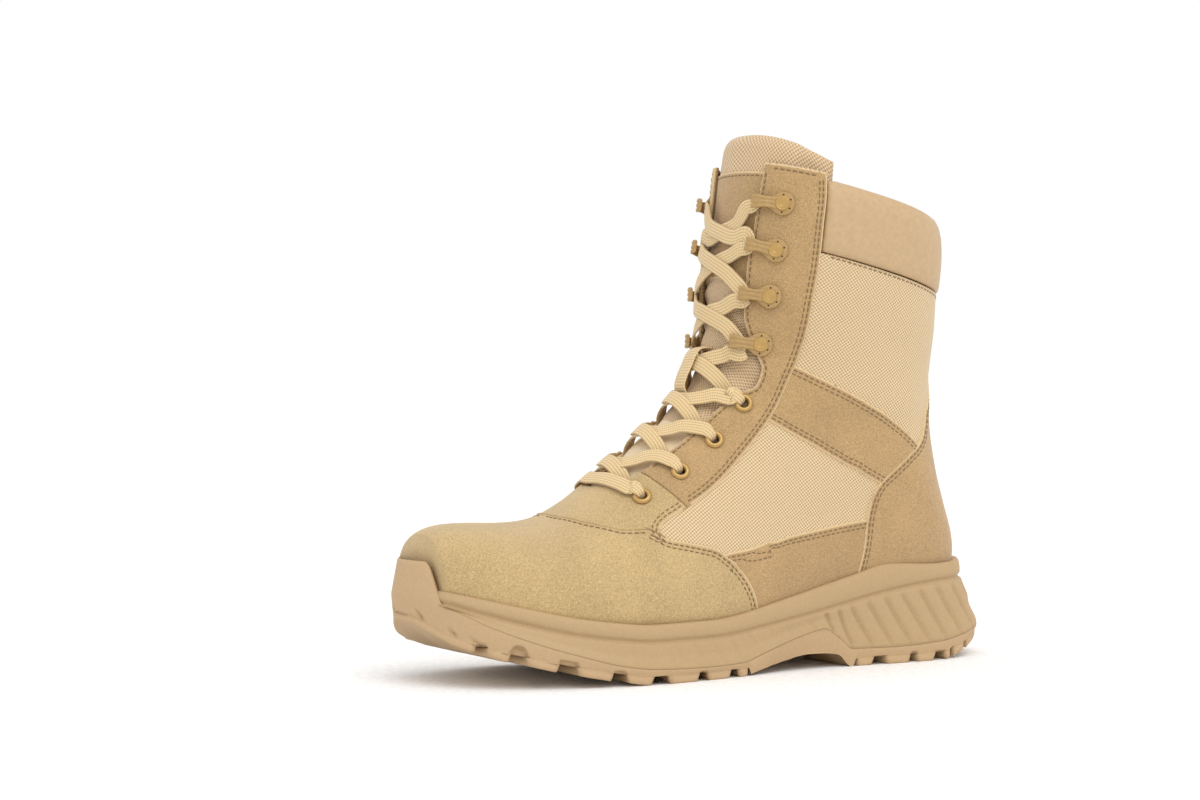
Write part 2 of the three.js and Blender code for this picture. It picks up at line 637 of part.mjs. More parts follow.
// Where a lace meets the facing at each row of lacing: above the eyelet, at the facing's edge, or
// beside the hook's bridge.
const laceRows = EYELETS.map((_, i) => {
  const [outer, inner] = [eyeletSpots[i], eyeletSpots[i + EYELETS.length]];
  return { kind: "eyelet", outer, inner };
});
for (let i = 0; i < HOOK_COUNT; i++)
  laceRows.push({ kind: "hook", outer: hookSpots[i], inner: hookSpots[i + HOOK_COUNT] });

const sideSpot = (row, sign) => (sign > 0 ? row.outer : row.inner);

// How many section rows make a distance along the instep.
const rowsIn = (row, distance) => {
  const tenth = lastPoint(row + 0.05, 0).distanceTo(lastPoint(row - 0.05, 0));
  return distance / (10 * tenth);
};

// The throat's middle at a section row, at an offset above the last's surface.
const overTongue = (row, share, offset) => {
  const turn = turnAt(row, share * throatHalf(row));
  return { point: offsetPoint(row, turn, offset), out: lastNormal(row, turn) };
};

// One strand from the lower row on side sign to the upper row on the other side. It starts under the
// facing's edge or above a hook, and ends over the next eyelet or below the next hook.
const HOOK_CLEARANCE = 7.6; // from a hook's middle to the middle of the lace beside it
const KEPT_SPREAD = 0.24; // how far the keeper lets the laces spread, as a share of the throat's half
const HOOK_SIDE = 17.5; // how far from the ridge that lace reaches
function strandRows(lower, upper) {
  const clear = (row) => rowsIn(row, HOOK_CLEARANCE);
  const past = upper.kind === "hook" ? 0.3 : 0.1;
  const overEyelet = lower.outer.row + past;
  const low = lower.kind === "hook" ? lower.outer.tipRow + clear(lower.outer.tipRow) : overEyelet;
  const high = upper.kind === "hook" ? upper.outer.tipRow - clear(upper.outer.tipRow) : upper.outer.row;
  return [low, high];
}

function strand(lower, upper, sign, lift) {
  const spread = lower.kind === upper.kind ? 0.47 : KEPT_SPREAD;
  const end = sideSpot(upper, -sign);
  const stops = [];
  const [low, high] = strandRows(lower, upper);
  const along = (t) => mix(low, high, t);
  if (lower.kind === "eyelet") stops.push(overTongue(along(0.03), 0.78 * sign, -1.1));
  else stops.push(overTongue(low, (HOOK_SIDE / throatHalf(low)) * sign, 1.8));
  stops.push(overTongue(along(0.28), spread * sign, 0.5 + lift));
  stops.push(overTongue(along(0.5), 0, 0.9 + lift));
  stops.push(overTongue(along(0.72), -spread * sign, 0.9 + lift));
  if (upper.kind === "eyelet") {
    stops.push(overTongue(along(0.9), -1.08 * sign, 3.4));
    const point = offsetPoint(end.row - 0.04, end.turn * 0.78, 4.6);
    stops.push({ point, out: lastNormal(end.row, end.turn) });
  } else stops.push(overTongue(high, (-HOOK_SIDE / throatHalf(high)) * sign, 1.8));
  return ribbon(stops.map((s) => s.point), stops.map((s) => s.out));
}

const crossing = (i) =>
  strand(laceRows[i], laceRows[i + 1], 1, 1.0).add(strand(laceRows[i], laceRows[i + 1], -1, -0.2));

function bottomBar() {
  const row = laceRows[0];
  const stops = [1, 0.62, 0.3, 0, -0.3, -0.62, -1].map((share) => {
    const sign = Math.sign(share) || 1;
    const spot = sideSpot(row, sign);
    const turn = spot.turn * Math.abs(share) * 0.86;
    const sag = 3.0 - 0.2 * Math.abs(share);
    const point = offsetPoint(spot.row - 0.1 * (1 - Math.abs(share)), turn, sag);
    return { point, out: lastNormal(spot.row, turn) };
  });
  return ribbon(stops.map((s) => s.point), stops.map((s) => s.out));
}

// The webbing loop on the tongue, which holds the laces between the top eyelets and the first hooks.
function keeperSolid() {
  const [low, high] = strandRows(laceRows[3], laceRows[4]);
  const row = mix(low, high, 0.5);
  const half = KEEPER_WIDTH / 2;
  const stops = [[1.17, -2.4], [1.1, -2.2], [1.01, 3.4], [0.5, 4.7], [0, 4.8]];
  const both = [...stops, ...stops.slice(0, -1).reverse().map(([share, offset]) => [-share, offset])];
  const rings = both.map(([share, offset]) => {
    const turn = turnAt(row, share * half);
    const up = rowsIn(row, KEEPER_HEIGHT / 2);
    const corner = (a, b) => offsetPoint(row + a * up, turn, offset + b * 0.6);
    return [corner(1, 1), corner(-1, 1), corner(-1, -1), corner(1, -1)];
  });
  return solid(loft(rings));
}

// ---------------------------------------------------------------- zip
const zipSpot = nearest(new THREE.Vector3(54.7, -45, 216), false);

function zipSolid() {
  const band = lastSolid(0.2).subtract(lastSolid(-1.8));
  const top = sidePrism([[-30, 226], [200, 226], [200, 320], [-30, 320]], -90, 90);
  const foot = sidePrism([[-30, -30], [200, -30], [200, ZIP_LOW[1] + GAP], [-30, ZIP_LOW[1] + GAP]], -90, 90);
  return band.intersect(zipPrism(ZIP_HALF - GAP, 30)).subtract(top).subtract(foot);
}

// Sets a mesh on the zip: +Z out of the shaft, +Y up the zip, at a distance up it from the slider's middle.
function alongZip(mesh, up, lift) {
  const { row, turn } = zipSpot;
  const out = lastNormal(row, turn);
  const y = new THREE.Vector3(ZIP_TOP[0] - ZIP_LOW[0], 0, ZIP_TOP[1] - ZIP_LOW[1]);
  y.addScaledVector(out, -y.dot(out)).normalize();
  const x = new THREE.Vector3().crossVectors(y, out);
  mesh.quaternion.setFromRotationMatrix(new THREE.Matrix4().makeBasis(x, y, out));
  mesh.position.copy(lastPoint(row, turn)).addScaledVector(out, lift).addScaledVector(y, up);
}

// Slider body along +Z with two legs for the pull's pin; +Y is up the zip.
function sliderGeometry() {
  const plate = solid(new THREE.BoxGeometry(7.4, 10, 2.2).translate(0, 0, 1.1));
  const legs = [1, -1].map((side) =>
    solid(new THREE.BoxGeometry(1.4, 2.4, 3.2).translate(side * 1.9, PIN_UP, 3.5)),
  );
  return geometryOf(plate.add(legs[0]).add(legs[1]));
}

// The pull hangs down from its pin, which lies between the slider's two legs.
const PULL_LENGTH = 26;
const PIN_RADIUS = 0.7;
const PIN_RISE = 4.0;
const PIN_UP = 3.2;
function pullGeometry() {
  const shape = new THREE.Shape();
  shape.absarc(0, -PULL_LENGTH + 3.2, 3.2, Math.PI, 2 * Math.PI, false);
  shape.lineTo(2.4, -7);
  shape.lineTo(0.8, -3);
  shape.lineTo(0.8, 0);
  shape.lineTo(-0.8, 0);
  shape.lineTo(-0.8, -3);
  shape.lineTo(-2.4, -7);
  const plate = new THREE.ExtrudeGeometry(shape, { depth: 1.2, bevelEnabled: false, curveSegments: 8 });
  const pin = new THREE.CylinderGeometry(PIN_RADIUS, PIN_RADIUS, 1.8, 12).rotateZ(Math.PI / 2);
  return geometryOf(solid(plate.translate(0, 0, -0.6)).add(solid(pin)));
}

// ---------------------------------------------------------------- materials
const finish = (color, roughness, metalness = 0) =>
  new THREE.MeshStandardMaterial({ color, roughness, metalness });
const SUEDE = finish(0xb49a6a, 0.95);
const FOAM = finish(0xc8a67c, 0.6);
const RUBBER = finish(0xc9a57b, 0.7);
const SMOOTH_LEATHER = finish(0xccab7e, 0.42);
const KNIT = finish(0xcdb183, 0.95);
const WEBBING = finish(0xd8c393, 0.9);
const COATED_METAL = finish(0xa98650, 0.5, 0.3);
const ZIP_TAPE = finish(0xb89a6c, 0.8);
const ZIP_METAL = finish(0x9a8a6a, 0.35, 0.8);
const INSOLE_FOAM = finish(0x3b3833, 0.9);

// ---------------------------------------------------------------- assembly
const boot = new THREE.Group();
const body = new THREE.Group();
body.position.x = -HEEL_REST_X;
boot.add(body);

function add(name, geometry, material) {
  const mesh = new THREE.Mesh(geometry, material);
  mesh.name = name;
  body.add(mesh);
  return mesh;
}

const midsole = midsoleForm(0);
const footSpace = lastSolid(GAP).subtract(belowBed(0));
let outsole = outsoleForm().subtract(midsoleForm(GAP)).subtract(midsoleForm(0)).subtract(lastSolid(GAP));
for (const row of NOTCHES) {
  const notch = Object.fromEntries(NOTCH_COLUMNS.map((name, i) => [name, row[i]]));
  for (const cutter of notchCutters(notch)) outsole = outsole.subtract(cutter);
}
const largest = (form) => form.decompose().sort((a, b) => b.volume() - a.volume())[0];

add("outsole", geometryOf(largest(outsole)), RUBBER);
add("midsole", geometryOf(largest(midsole.subtract(footSpace))), FOAM);
add("upper", geometryOf(largest(upperSolid())), SUEDE);
add(
  "insole",
  geometryOf(largest(lastSolid(-WALL - GAP).intersect(belowBed(GAP + INSOLE_THICK).subtract(belowBed(GAP))))),
  INSOLE_FOAM,
);

const collarFront = nearest(new THREE.Vector3(FACING_REAR_LOW[0] - 2, 42, 210), true).turn;
const zipTurn = 1 + zipSpot.turn;
const collarSpaceCut = collarSpace(GAP);
const zipClearance = zipPrism(ZIP_HALF + GAP, 40);
const fittedCollar = (first, last, steps) =>
  geometryOf(largest(collarSolid(first, last, steps).intersect(collarSpaceCut).subtract(zipClearance)));
add("collar_back", fittedCollar(collarFront - 0.01, zipTurn, 24), SMOOTH_LEATHER);
add("collar_inner", fittedCollar(zipTurn, 1 - collarFront + 0.01, 9), SMOOTH_LEATHER);
add("tongue", geometryOf(tongueSolid()), KNIT);

const eyelet = eyeletGeometry();
for (const spot of eyeletSpots) standOn(add(spot.name, eyelet, COATED_METAL), spot, GAP + 0.1);
const hook = hookGeometry();
for (const spot of hookSpots) standOn(add(spot.name, hook, COATED_METAL), spot, GAP);

add("lace_bar", geometryOf(bottomBar()), WEBBING);
for (let i = 0; i + 1 < laceRows.length; i++) add(`lace_cross_${i + 1}`, geometryOf(crossing(i)), WEBBING);

add("lace_keeper", geometryOf(keeperSolid()), WEBBING);

add("zip", geometryOf(largest(zipSolid())), ZIP_TAPE);
alongZip(add("zip_slider", sliderGeometry(), ZIP_METAL), 0, 0.2 + GAP);
alongZip(add("zip_pull", pullGeometry(), ZIP_METAL), PIN_UP, 0.2 + GAP + PIN_RISE);

export default boot;
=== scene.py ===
import math

import bmesh
import bpy
import numpy as np
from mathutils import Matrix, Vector
from mathutils.geometry import delaunay_2d_cdt
from mathutils.kdtree import KDTree


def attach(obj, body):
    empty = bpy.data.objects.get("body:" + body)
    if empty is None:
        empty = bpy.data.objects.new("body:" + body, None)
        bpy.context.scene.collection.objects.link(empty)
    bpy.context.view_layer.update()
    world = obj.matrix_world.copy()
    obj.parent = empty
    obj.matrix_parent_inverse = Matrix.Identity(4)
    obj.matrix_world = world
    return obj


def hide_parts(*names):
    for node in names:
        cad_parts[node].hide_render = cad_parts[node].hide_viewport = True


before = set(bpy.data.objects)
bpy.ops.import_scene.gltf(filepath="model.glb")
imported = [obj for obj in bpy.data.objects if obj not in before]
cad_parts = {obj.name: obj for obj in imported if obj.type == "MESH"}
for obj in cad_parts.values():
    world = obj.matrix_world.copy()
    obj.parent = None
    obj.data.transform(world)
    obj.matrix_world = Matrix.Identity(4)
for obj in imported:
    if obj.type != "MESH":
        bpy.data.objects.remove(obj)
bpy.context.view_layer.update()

bl_info = {
    "name": "Combat Boot",
    "version": (1, 0, 0),
    "blender": (4, 5, 0),
    "location": "View3D > Sidebar > Boot",
    "description": "Builds the finish of a left lace-up combat boot round its CAD frame",
    "category": "Object",
}

# Millimetres, x from the back of the heel seat, y to the outer side, z up. HEEL_REST_X moves all of it
# into the frame, whose origin is under the middle of the heel.
MM = 0.001
HEEL_REST_X = 54.0
WALL = 2.8
LINING_TOP = -1.9
FABRIC_TOP = -1.0
PANEL_BASE = -1.25
COLLAR_BASE = 19.0
COLLAR_TOP = 21.0

# ------ the last
# Sections of the last, from the toe nose to above the collar. Each lies in a plane across the foot:
# front is its point on the instep or shin ridge, back its point on the sole or back seam.
# Columns: front x and z, back x and z, the outer and inner side's reach, the ridge's y, how far back
# the section is widest, and the powers that round its front and its back.
SECTIONS = (
    (298.5, 54.5, 298.5, 50.5, -6, -14, -10, 0.5, 2.0, 2.0),
    (297.9, 60.5, 297.9, 44.5, 4, -23, -10, 0.52, 2.0, 2.1),
    (296.0, 65.8, 296.0, 39.0, 11, -29, -10, 0.54, 2.0, 2.3),
    (291.5, 70.2, 291.5, 33.5, 18, -34, -10, 0.56, 2.1, 2.6),
    (283.0, 73.0, 283.0, 28.5, 26, -39, -9, 0.58, 2.2, 2.8),
    (270.0, 73.6, 270.0, 24.0, 34, -43.5, -8, 0.6, 2.2, 3.0),
    (252.0, 73.4, 250.0, 18.8, 42, -46.5, -7, 0.62, 2.2, 3.0),
    (233.0, 75.6, 226.0, 14.5, 47, -47, -5.5, 0.64, 2.1, 3.0),
    (214.0, 85.0, 198.0, 12.5, 48.8, -45.2, -4, 0.64, 2.0, 3.0),
    (196.0, 99.5, 166.0, 12.0, 47.5, -42, -3, 0.62, 1.95, 3.0),
    (177.0, 115.0, 130.0, 16.0, 44, -39, -2, 0.6, 1.95, 3.0),
    (160.5, 130.0, 92.0, 23.5, 41, -37.5, -1, 0.57, 2.0, 3.0),
    (149.5, 144.0, 52.0, 29.5, 39.5, -37, 0, 0.53, 2.0, 3.0),
    (144.5, 156.5, 17.0, 32.0, 39, -37.5, 0, 0.5, 2.1, 2.9),
    (142.2, 167.5, 2.2, 47.5, 39.5, -38.5, 0, 0.5, 2.2, 2.7),
    (140.4, 178.0, 6.8, 70.0, 40.5, -39.8, 0, 0.5, 2.25, 2.5),
    (138.4, 188.0, 14.4, 96.0, 42, -41.4, 0, 0.5, 2.3, 2.4),
    (136.4, 197.5, 17.2, 125.0, 43.5, -43, 0, 0.5, 2.35, 2.3),
    (134.8, 204.5, 14.2, 154.0, 45, -44.5, 0, 0.5, 2.4, 2.3),
    (133.2, 209.4, 12.6, 181.2, 46, -45.5, 0, 0.5, 2.4, 2.3),
    (130.4, 228.4, 12.2, 201.2, 46.3, -45.8, 0, 0.5, 2.4, 2.3),
    (127.6, 247.4, 12.8, 221.4, 46.3, -45.8, 0, 0.5, 2.4, 2.3),
    (125.0, 266.2, 13.2, 241.2, 46.3, -45.8, 0, 0.5, 2.4, 2.3),
)

# Half the gap between the facings, at section rows from the vamp point to the top line.
THROAT_ROWS = (8.35, 8.4, 8.55, 8.85, 9.4, 10.2, 11.2, 12.0, 12.75, 13.35, 14.1, 15, 17, 19, 21, 23)
THROAT_HALVES = (1, 8, 14, 18.5, 21, 21.5, 21.5, 22.5, 26.5, 27, 23, 20.5, 20.5, 21, 23, 25)


def level_curve(xs, ys):
    """A smooth curve through points that never overshoots them."""
    xs, ys = np.array(xs, float), np.array(ys, float)
    steps = np.diff(ys) / np.diff(xs)
    before, after = steps[:-1], steps[1:]
    with np.errstate(divide="ignore", invalid="ignore"):
        inner = np.where(before * after <= 0, 0, 2 * before * after / (before + after))
    tangents = np.concatenate([steps[:1], inner, steps[-1:]])

    def curve(x):
        x = np.clip(np.asarray(x, float), xs[0], xs[-1])
        i = np.clip(np.searchsorted(xs, x, side="right") - 1, 0, len(xs) - 2)
        span = xs[i + 1] - xs[i]
        t = (x - xs[i]) / span
        s = t * t * (3 - 2 * t)
        rise = t * (1 - t) * (1 - t) * span * tangents[i] - t * t * (1 - t) * span * tangents[i + 1]
        return ys[i] * (1 - s) + ys[i + 1] * s + rise

    return curve


def section_bends():
    """Second derivatives of the natural splines through the columns of SECTIONS."""
    table = np.array(SECTIONS, float)
    count = len(table)
    matrix = np.eye(count)
    right = np.zeros_like(table)
    for i in range(1, count - 1):
        matrix[i, i - 1:i + 2] = (1, 4, 1)
        right[i] = 6 * (table[i + 1] - 2 * table[i] + table[i - 1])
    return table, np.linalg.solve(matrix, right)


SECTION_TABLE, SECTION_BENDS = section_bends()
throat_half = level_curve(THROAT_ROWS, THROAT_HALVES)


def smooth(t):
    t = np.clip(t, 0, 1)
    return t * t * (3 - 2 * t)


def last_point(row, turn):
    """Points of the upper's outer surface. turn goes once round a section from the ridge (0) by the
    outer side (0.25) and the sole or back seam (0.5) to the inner side (0.75, or -0.25)."""
    row, turn = np.broadcast_arrays(np.asarray(row, float), np.asarray(turn, float))
    i = np.clip(np.floor(row).astype(int), 0, len(SECTION_TABLE) - 2)
    b = (row - i)[..., None]
    a = 1 - b
    values = a * SECTION_TABLE[i] + b * SECTION_TABLE[i + 1]
    values = values + ((a**3 - a) * SECTION_BENDS[i] + (b**3 - b) * SECTION_BENDS[i + 1]) / 6
    fx, fz, bx, bz, out, inn, ridge, wide, front_n, back_n = np.moveaxis(values, -1, 0)
    c = np.cos(2 * math.pi * turn)
    s = np.sin(2 * math.pi * turn)
    power = 2 / np.where(c > 0, front_n, back_n)
    bulk = np.abs(c) ** power
    along = np.where(c > 0, wide * (1 - bulk), wide + (1 - wide) * bulk)
    middle = (out + inn) / 2
    middle = middle + (ridge - middle) * smooth(c + 0.5)
    side = np.where(s > 0, out, inn)
    y = middle + (side - middle) * np.abs(s) ** power
    return np.stack([fx + (bx - fx) * along, y, fz + (bz - fz) * along], -1)


def unit(directions):
    return directions / np.linalg.norm(directions, axis=-1, keepdims=True)


def last_normal(row, turn):
    along_row = last_point(row + 0.02, turn) - last_point(row - 0.02, turn)
    along_turn = last_point(row, turn + 0.003) - last_point(row, turn - 0.003)
    return unit(np.cross(along_turn, along_row))


# Soft troughs (negative) and ridges across the leather and cloth, in the boot's side view: the two
# ends (x, z), how deep in mm, how wide, and on which sides they show (1 outer, -1 inner, 0 both).
CREASES = (
    ((238, 66), (232, 44), -0.45, 6.0, 0),
    ((226, 74), (216, 48), -0.55, 6.5, 0),
    ((214, 80), (203, 60), -0.4, 5.5, 0),
    ((120, 96), (150, 82), 0.5, 9.0, 0),
    ((70, 78), (112, 72), -0.45, 7.0, 0),
    ((34, 118), (78, 112), -0.5, 7.0, 0),
    ((30, 128), (88, 132), 0.55, 9.0, 1),
    ((24, 150), (70, 158), -0.5, 9.0, 1),
    ((98, 196), (112, 150), 0.6, 9.0, 0),
    ((60, 182), (96, 172), -0.45, 8.0, -1),
    ((118, 168), (122, 196), -0.35, 6.0, 0),
)


def relief(points, normals):
    """How far the creases and the slack between the seams move the surface in or out."""
    x, y, z = np.moveaxis(points, -1, 0)
    rise = 0.16 * np.sin(x * 0.083 + 0.6) * np.sin(z * 0.071 + y * 0.02)
    rise = rise + 0.08 * np.sin(x * 0.19 + z * 0.13 + 1.1) * np.sin(z * 0.17 - x * 0.05)
    for (ax, az), (bx, bz), depth, width, side in CREASES:
        dx, dz = bx - ax, bz - az
        t = np.clip(((x - ax) * dx + (z - az) * dz) / (dx * dx + dz * dz), 0, 1)
        gap = np.hypot(x - ax - t * dx, z - az - t * dz)
        fade = np.clip(np.abs(normals[..., 1]) * 2.2, 0, 1)
        shown = 1 if side == 0 else np.clip(side * y / 8, 0, 1)
        along = np.sin(math.pi * (0.12 + 0.76 * t))
        rise = rise + depth * np.exp(-(gap / width) ** 2) * along * fade * shown
    return rise


def surface(row, turn, offset, wave=1.0):
    point = last_point(row, turn)
    normal = last_normal(row, turn)
    offset = np.asarray(offset, float) + (wave * relief(point, normal) if wave else 0)
    return point + normal * offset[..., None]


def halved(shape, low, high, falls_short, rounds=24):
    """The two ends of a range after halving it towards the place where falls_short stops being true."""
    low, high = np.full(shape, low), np.full(shape, high)
    for _ in range(rounds):
        middle = (low + high) / 2
        short = falls_short(middle)
        low, high = np.where(short, middle, low), np.where(short, high, middle)
    return low, high


def turn_at(row, y):
    """The turn on a section's front half that is y from the ridge."""
    row, y = np.broadcast_arrays(np.asarray(row, float), np.asarray(y, float))
    sign = np.where(y < 0, -1.0, 1.0)
    ridge = last_point(row, 0)[..., 1]
    low, high = halved(row.shape, 0.0, 0.25,
                       lambda turn: np.abs(last_point(row, sign * turn)[..., 1] - ridge) < np.abs(y), 26)
    return sign * (low + high) / 2


def distances(points):
    """How far along a line each of its points is."""
    return np.concatenate([[0], np.cumsum(np.linalg.norm(np.diff(points, axis=0), axis=1))])


# A flat chart of the surface, nearly to scale: how far along the rows, and how far round.
CHART_ROWS = np.arange(0, 22.01, 0.1)
CHART_LENGTHS = distances(last_point(CHART_ROWS, 0.25))
CHART_ROUND = 260.0
_grid_rows, _grid_turns = np.meshgrid(np.arange(0, 21.7, 0.1), np.linspace(0, 0.5, 126), indexing="ij")
_grid_points = last_point(_grid_rows, _grid_turns)


def to_chart(row, turn):
    return np.stack([np.interp(row, CHART_ROWS, CHART_LENGTHS), np.asarray(turn) * CHART_ROUND], -1)


def from_chart(spots):
    return np.interp(spots[:, 0], CHART_LENGTHS, CHART_ROWS), spots[:, 1] / CHART_ROUND


# For each view: which of x, y and z it shows, and the turns that are looked at.
VIEWS = {"side": ((1, 0, 1), 0, 0.5), "top": ((1, 1, 0), 0, 0.2), "back": ((0, 1, 1), 0.36, 0.5),
         "all": ((1, 1, 1), 0, 0.5)}


def nearest(gap):
    """The index of the least of an array."""
    return np.unravel_index(np.argmin(gap), gap.shape)


def grid_spot(point):
    """The index in the grid of the spot nearest to a point."""
    return nearest(((_grid_points - point) ** 2).sum(-1))


def locate(view, *place):
    """(row, turn) on the outer half of the spot seen at a place: from the side as x and z, from the top
    as x and y, from the back as y and z, or as all three."""
    weight, first_turn, last_turn = VIEWS[view]
    weight = np.array(weight, float)
    target = np.zeros(3)
    target[weight > 0] = place
    gap = (((_grid_points - target) * weight) ** 2).sum(-1)
    i = nearest(np.where((_grid_turns < first_turn) | (_grid_turns > last_turn), np.inf, gap))
    row, turn = _grid_rows[i], _grid_turns[i]
    for reach_row, reach_turn in ((0.1, 0.004), (0.01, 0.0004)):
        rows, turns = np.meshgrid(
            row + np.linspace(-reach_row, reach_row, 21),
            np.clip(turn + np.linspace(-reach_turn, reach_turn, 21), 0, 0.5),
            indexing="ij",
        )
        i = nearest((((last_point(rows, turns) - target) * weight) ** 2).sum(-1))
        row, turn = rows[i], turns[i]
    return row, turn


def curve_through(points, step, closed=False):
    """Catmull-Rom points through a list, about step apart."""
    points = np.array(points, float)
    if len(points) < 3:
        count = max(2, int(np.linalg.norm(points[-1] - points[0]) / step) + 1)
        return points[0] + (points[-1] - points[0]) * np.linspace(0, 1, count)[:, None]
    if closed:
        padded = np.vstack([points[-1:], points, points[:2]])
    else:
        padded = np.vstack([2 * points[0] - points[1], points, 2 * points[-1] - points[-2]])
    result = []
    for p0, p1, p2, p3 in zip(padded, padded[1:], padded[2:], padded[3:]):
        count = max(2, int(np.linalg.norm(p2 - p1) / step) + 1)
        t = np.linspace(0, 1, count, endpoint=False)[:, None]
        result.append(
            0.5 * (2 * p1 + (p2 - p0) * t + (2 * p0 - 5 * p1 + 4 * p2 - p3) * t**2
                   + (3 * p1 - p0 - 3 * p2 + p3) * t**3)
        )
    if not closed:
        result.append(points[-1:])
    return np.vstack(result)


def edge_line(view, *spots, step=1.1):
    """A smooth line of chart spots through places seen in one view."""
    return curve_through([to_chart(*locate(view, a, b)) for a, b in spots], step)


def side_spot(x, z):
    """The chart spot of a place seen from the side."""
    return to_chart(*locate("side", x, z))


def throat_line(first, last, inset=0.0, step=0.12):
    """The facing's front edge between two section rows, as chart spots of the outer side."""
    rows = np.linspace(first, last, max(2, int(abs(last - first) / step)))
    return to_chart(rows, turn_at(rows, throat_half(rows) + inset))


def row_line(row, first_turn, last_turn, count=40):
    return to_chart(np.full(count, float(row)), np.linspace(first_turn, last_turn, count))


def flip(line):
    """The same line on the inner side, run the other way."""
    return line[::-1] * (1, -1)


def flip_back(line):
    """The same line on the inner side, reached round the back seam."""
    return np.stack([line[::-1, 0], CHART_ROUND - line[::-1, 1]], -1)


# ------ meshes
def turn_outwards(mesh):
    """Reverses a closed mesh whose faces look inwards."""
    bm = bmesh.new()
    bm.from_mesh(mesh)
    if bm.calc_volume(signed=True) < 0:
        bmesh.ops.reverse_faces(bm, faces=bm.faces)
        bm.to_mesh(mesh)
    bm.free()
    mesh.update()


def add(name, data):
    """A new object in the scene."""
    thing = bpy.data.objects.new(name, data)
    bpy.context.scene.collection.objects.link(thing)
    return thing


def make(name, verts, faces, material, slot, nodes=(), body="boot", fill=None):
    """A piece from vertices in millimetres, riding on a body of the frame."""
    mesh = bpy.data.meshes.new(name)
    placed = (np.asarray(verts, float) - (HEEL_REST_X, 0, 0)) * MM
    mesh.from_pydata(placed.tolist(), [], [list(map(int, face)) for face in faces])
    mesh.validate()
    turn_outwards(mesh)
    mesh.shade_smooth()
    piece = add(name, mesh)
    mesh.materials.append(material)
    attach(piece, body)
    if nodes:
        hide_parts(*nodes)
    return piece


def set_attribute(piece, name, values):
    """Stores one number for each vertex, for the material to read."""
    attribute = piece.data.attributes.new(name, "FLOAT", "POINT")
    attribute.data.foreach_set("value", np.asarray(values, np.float32))


def set_uv(piece, coords):
    """Stores a flat place in metres for each vertex, for a weave to follow."""
    layer = piece.data.uv_layers.new(name="weave")
    loops = np.empty(len(piece.data.loops), int)
    piece.data.loops.foreach_get("vertex_index", loops)
    layer.data.foreach_set("uv", (np.asarray(coords)[loops] * MM).astype(np.float32).ravel())


def inside(spots, loop):
    """Which spots lie inside a closed loop."""
    x, y = spots[:, 0], spots[:, 1]
    result = np.zeros(len(spots), bool)
    for (ax, ay), (bx, by) in zip(loop, np.roll(loop, -1, axis=0)):
        if ay == by:
            continue
        crosses = (ay > y) != (by > y)
        result ^= crosses & (x < (bx - ax) * (y - ay) / (by - ay) + ax)
    return result


def within(spots, loop, holes):
    """Which spots lie inside a loop and in none of its holes."""
    keep = inside(spots, loop)
    for hole in holes:
        keep &= ~inside(spots, hole)
    return keep


def thin_out(loop, least=0.25):
    """A loop without points that nearly coincide."""
    kept = [loop[0]]
    for spot in loop[1:]:
        if np.linalg.norm(spot - kept[-1]) > least:
            kept.append(spot)
    if np.linalg.norm(kept[0] - kept[-1]) < least:
        kept.pop()
    return np.array(kept)


def slopes(row, turn):
    """How fast the surface's point moves with the row and with the turn."""
    per_row = (last_point(row + 0.01, turn) - last_point(row - 0.01, turn)) / 0.02
    return per_row, (last_point(row, turn + 0.001) - last_point(row, turn - 0.001)) / 0.002


def inset_spots(loop, distance):
    """Spots at a true distance on both sides of a closed chart loop."""
    row, turn = from_chart(loop)
    point = last_point(row, turn)
    along = np.roll(point, -1, axis=0) - np.roll(point, 1, axis=0)
    normal = last_normal(row, turn)
    side = np.cross(normal, along)
    side /= np.linalg.norm(side, axis=-1, keepdims=True) + 1e-9
    per_row, per_turn = slopes(row, turn)
    aa, bb, ab = ((per_row * per_row).sum(-1), (per_turn * per_turn).sum(-1), (per_row * per_turn).sum(-1))
    ar, br = (per_row * side).sum(-1) * distance, (per_turn * side).sum(-1) * distance
    det = aa * bb - ab * ab + 1e-9
    d_row, d_turn = (bb * ar - ab * br) / det, (aa * br - ab * ar) / det
    return to_chart(np.clip(row + d_row, 0, 22), turn + d_turn)


def interior_spots(loop, spacing):
    low, high = loop.min(axis=0), loop.max(axis=0)
    result = []
    along, k = low[0] + spacing / 2, 0
    while along < high[0]:
        row = np.interp(along, CHART_LENGTHS, CHART_ROWS)
        ring = last_point(row, np.linspace(0, 1, 41))
        length = np.linalg.norm(np.diff(ring, axis=0), axis=1).sum()
        step = spacing * CHART_ROUND / max(length, 40)
        across = np.arange(low[1] + step * (0.5 + 0.5 * (k % 2)), high[1], step)
        result.append(np.stack([np.full(len(across), along), across], -1))
        along += spacing * 0.87
        k += 1
    result = np.vstack(result)
    return result[inside(result, loop)]


def kd_of(points):
    tree = KDTree(len(points))
    for i, point in enumerate(points):
        tree.insert(point, i)
    tree.balance()
    return tree


def gaps(points, others):
    """How far each point is from the nearest of the others."""
    tree = kd_of(others)
    return np.array([tree.find(point)[2] for point in points])


# how far a tucked edge hides its raw cut, and the distance from an edge that shows none
TUCK_REACH = 2.2
NO_EDGE = 9.0


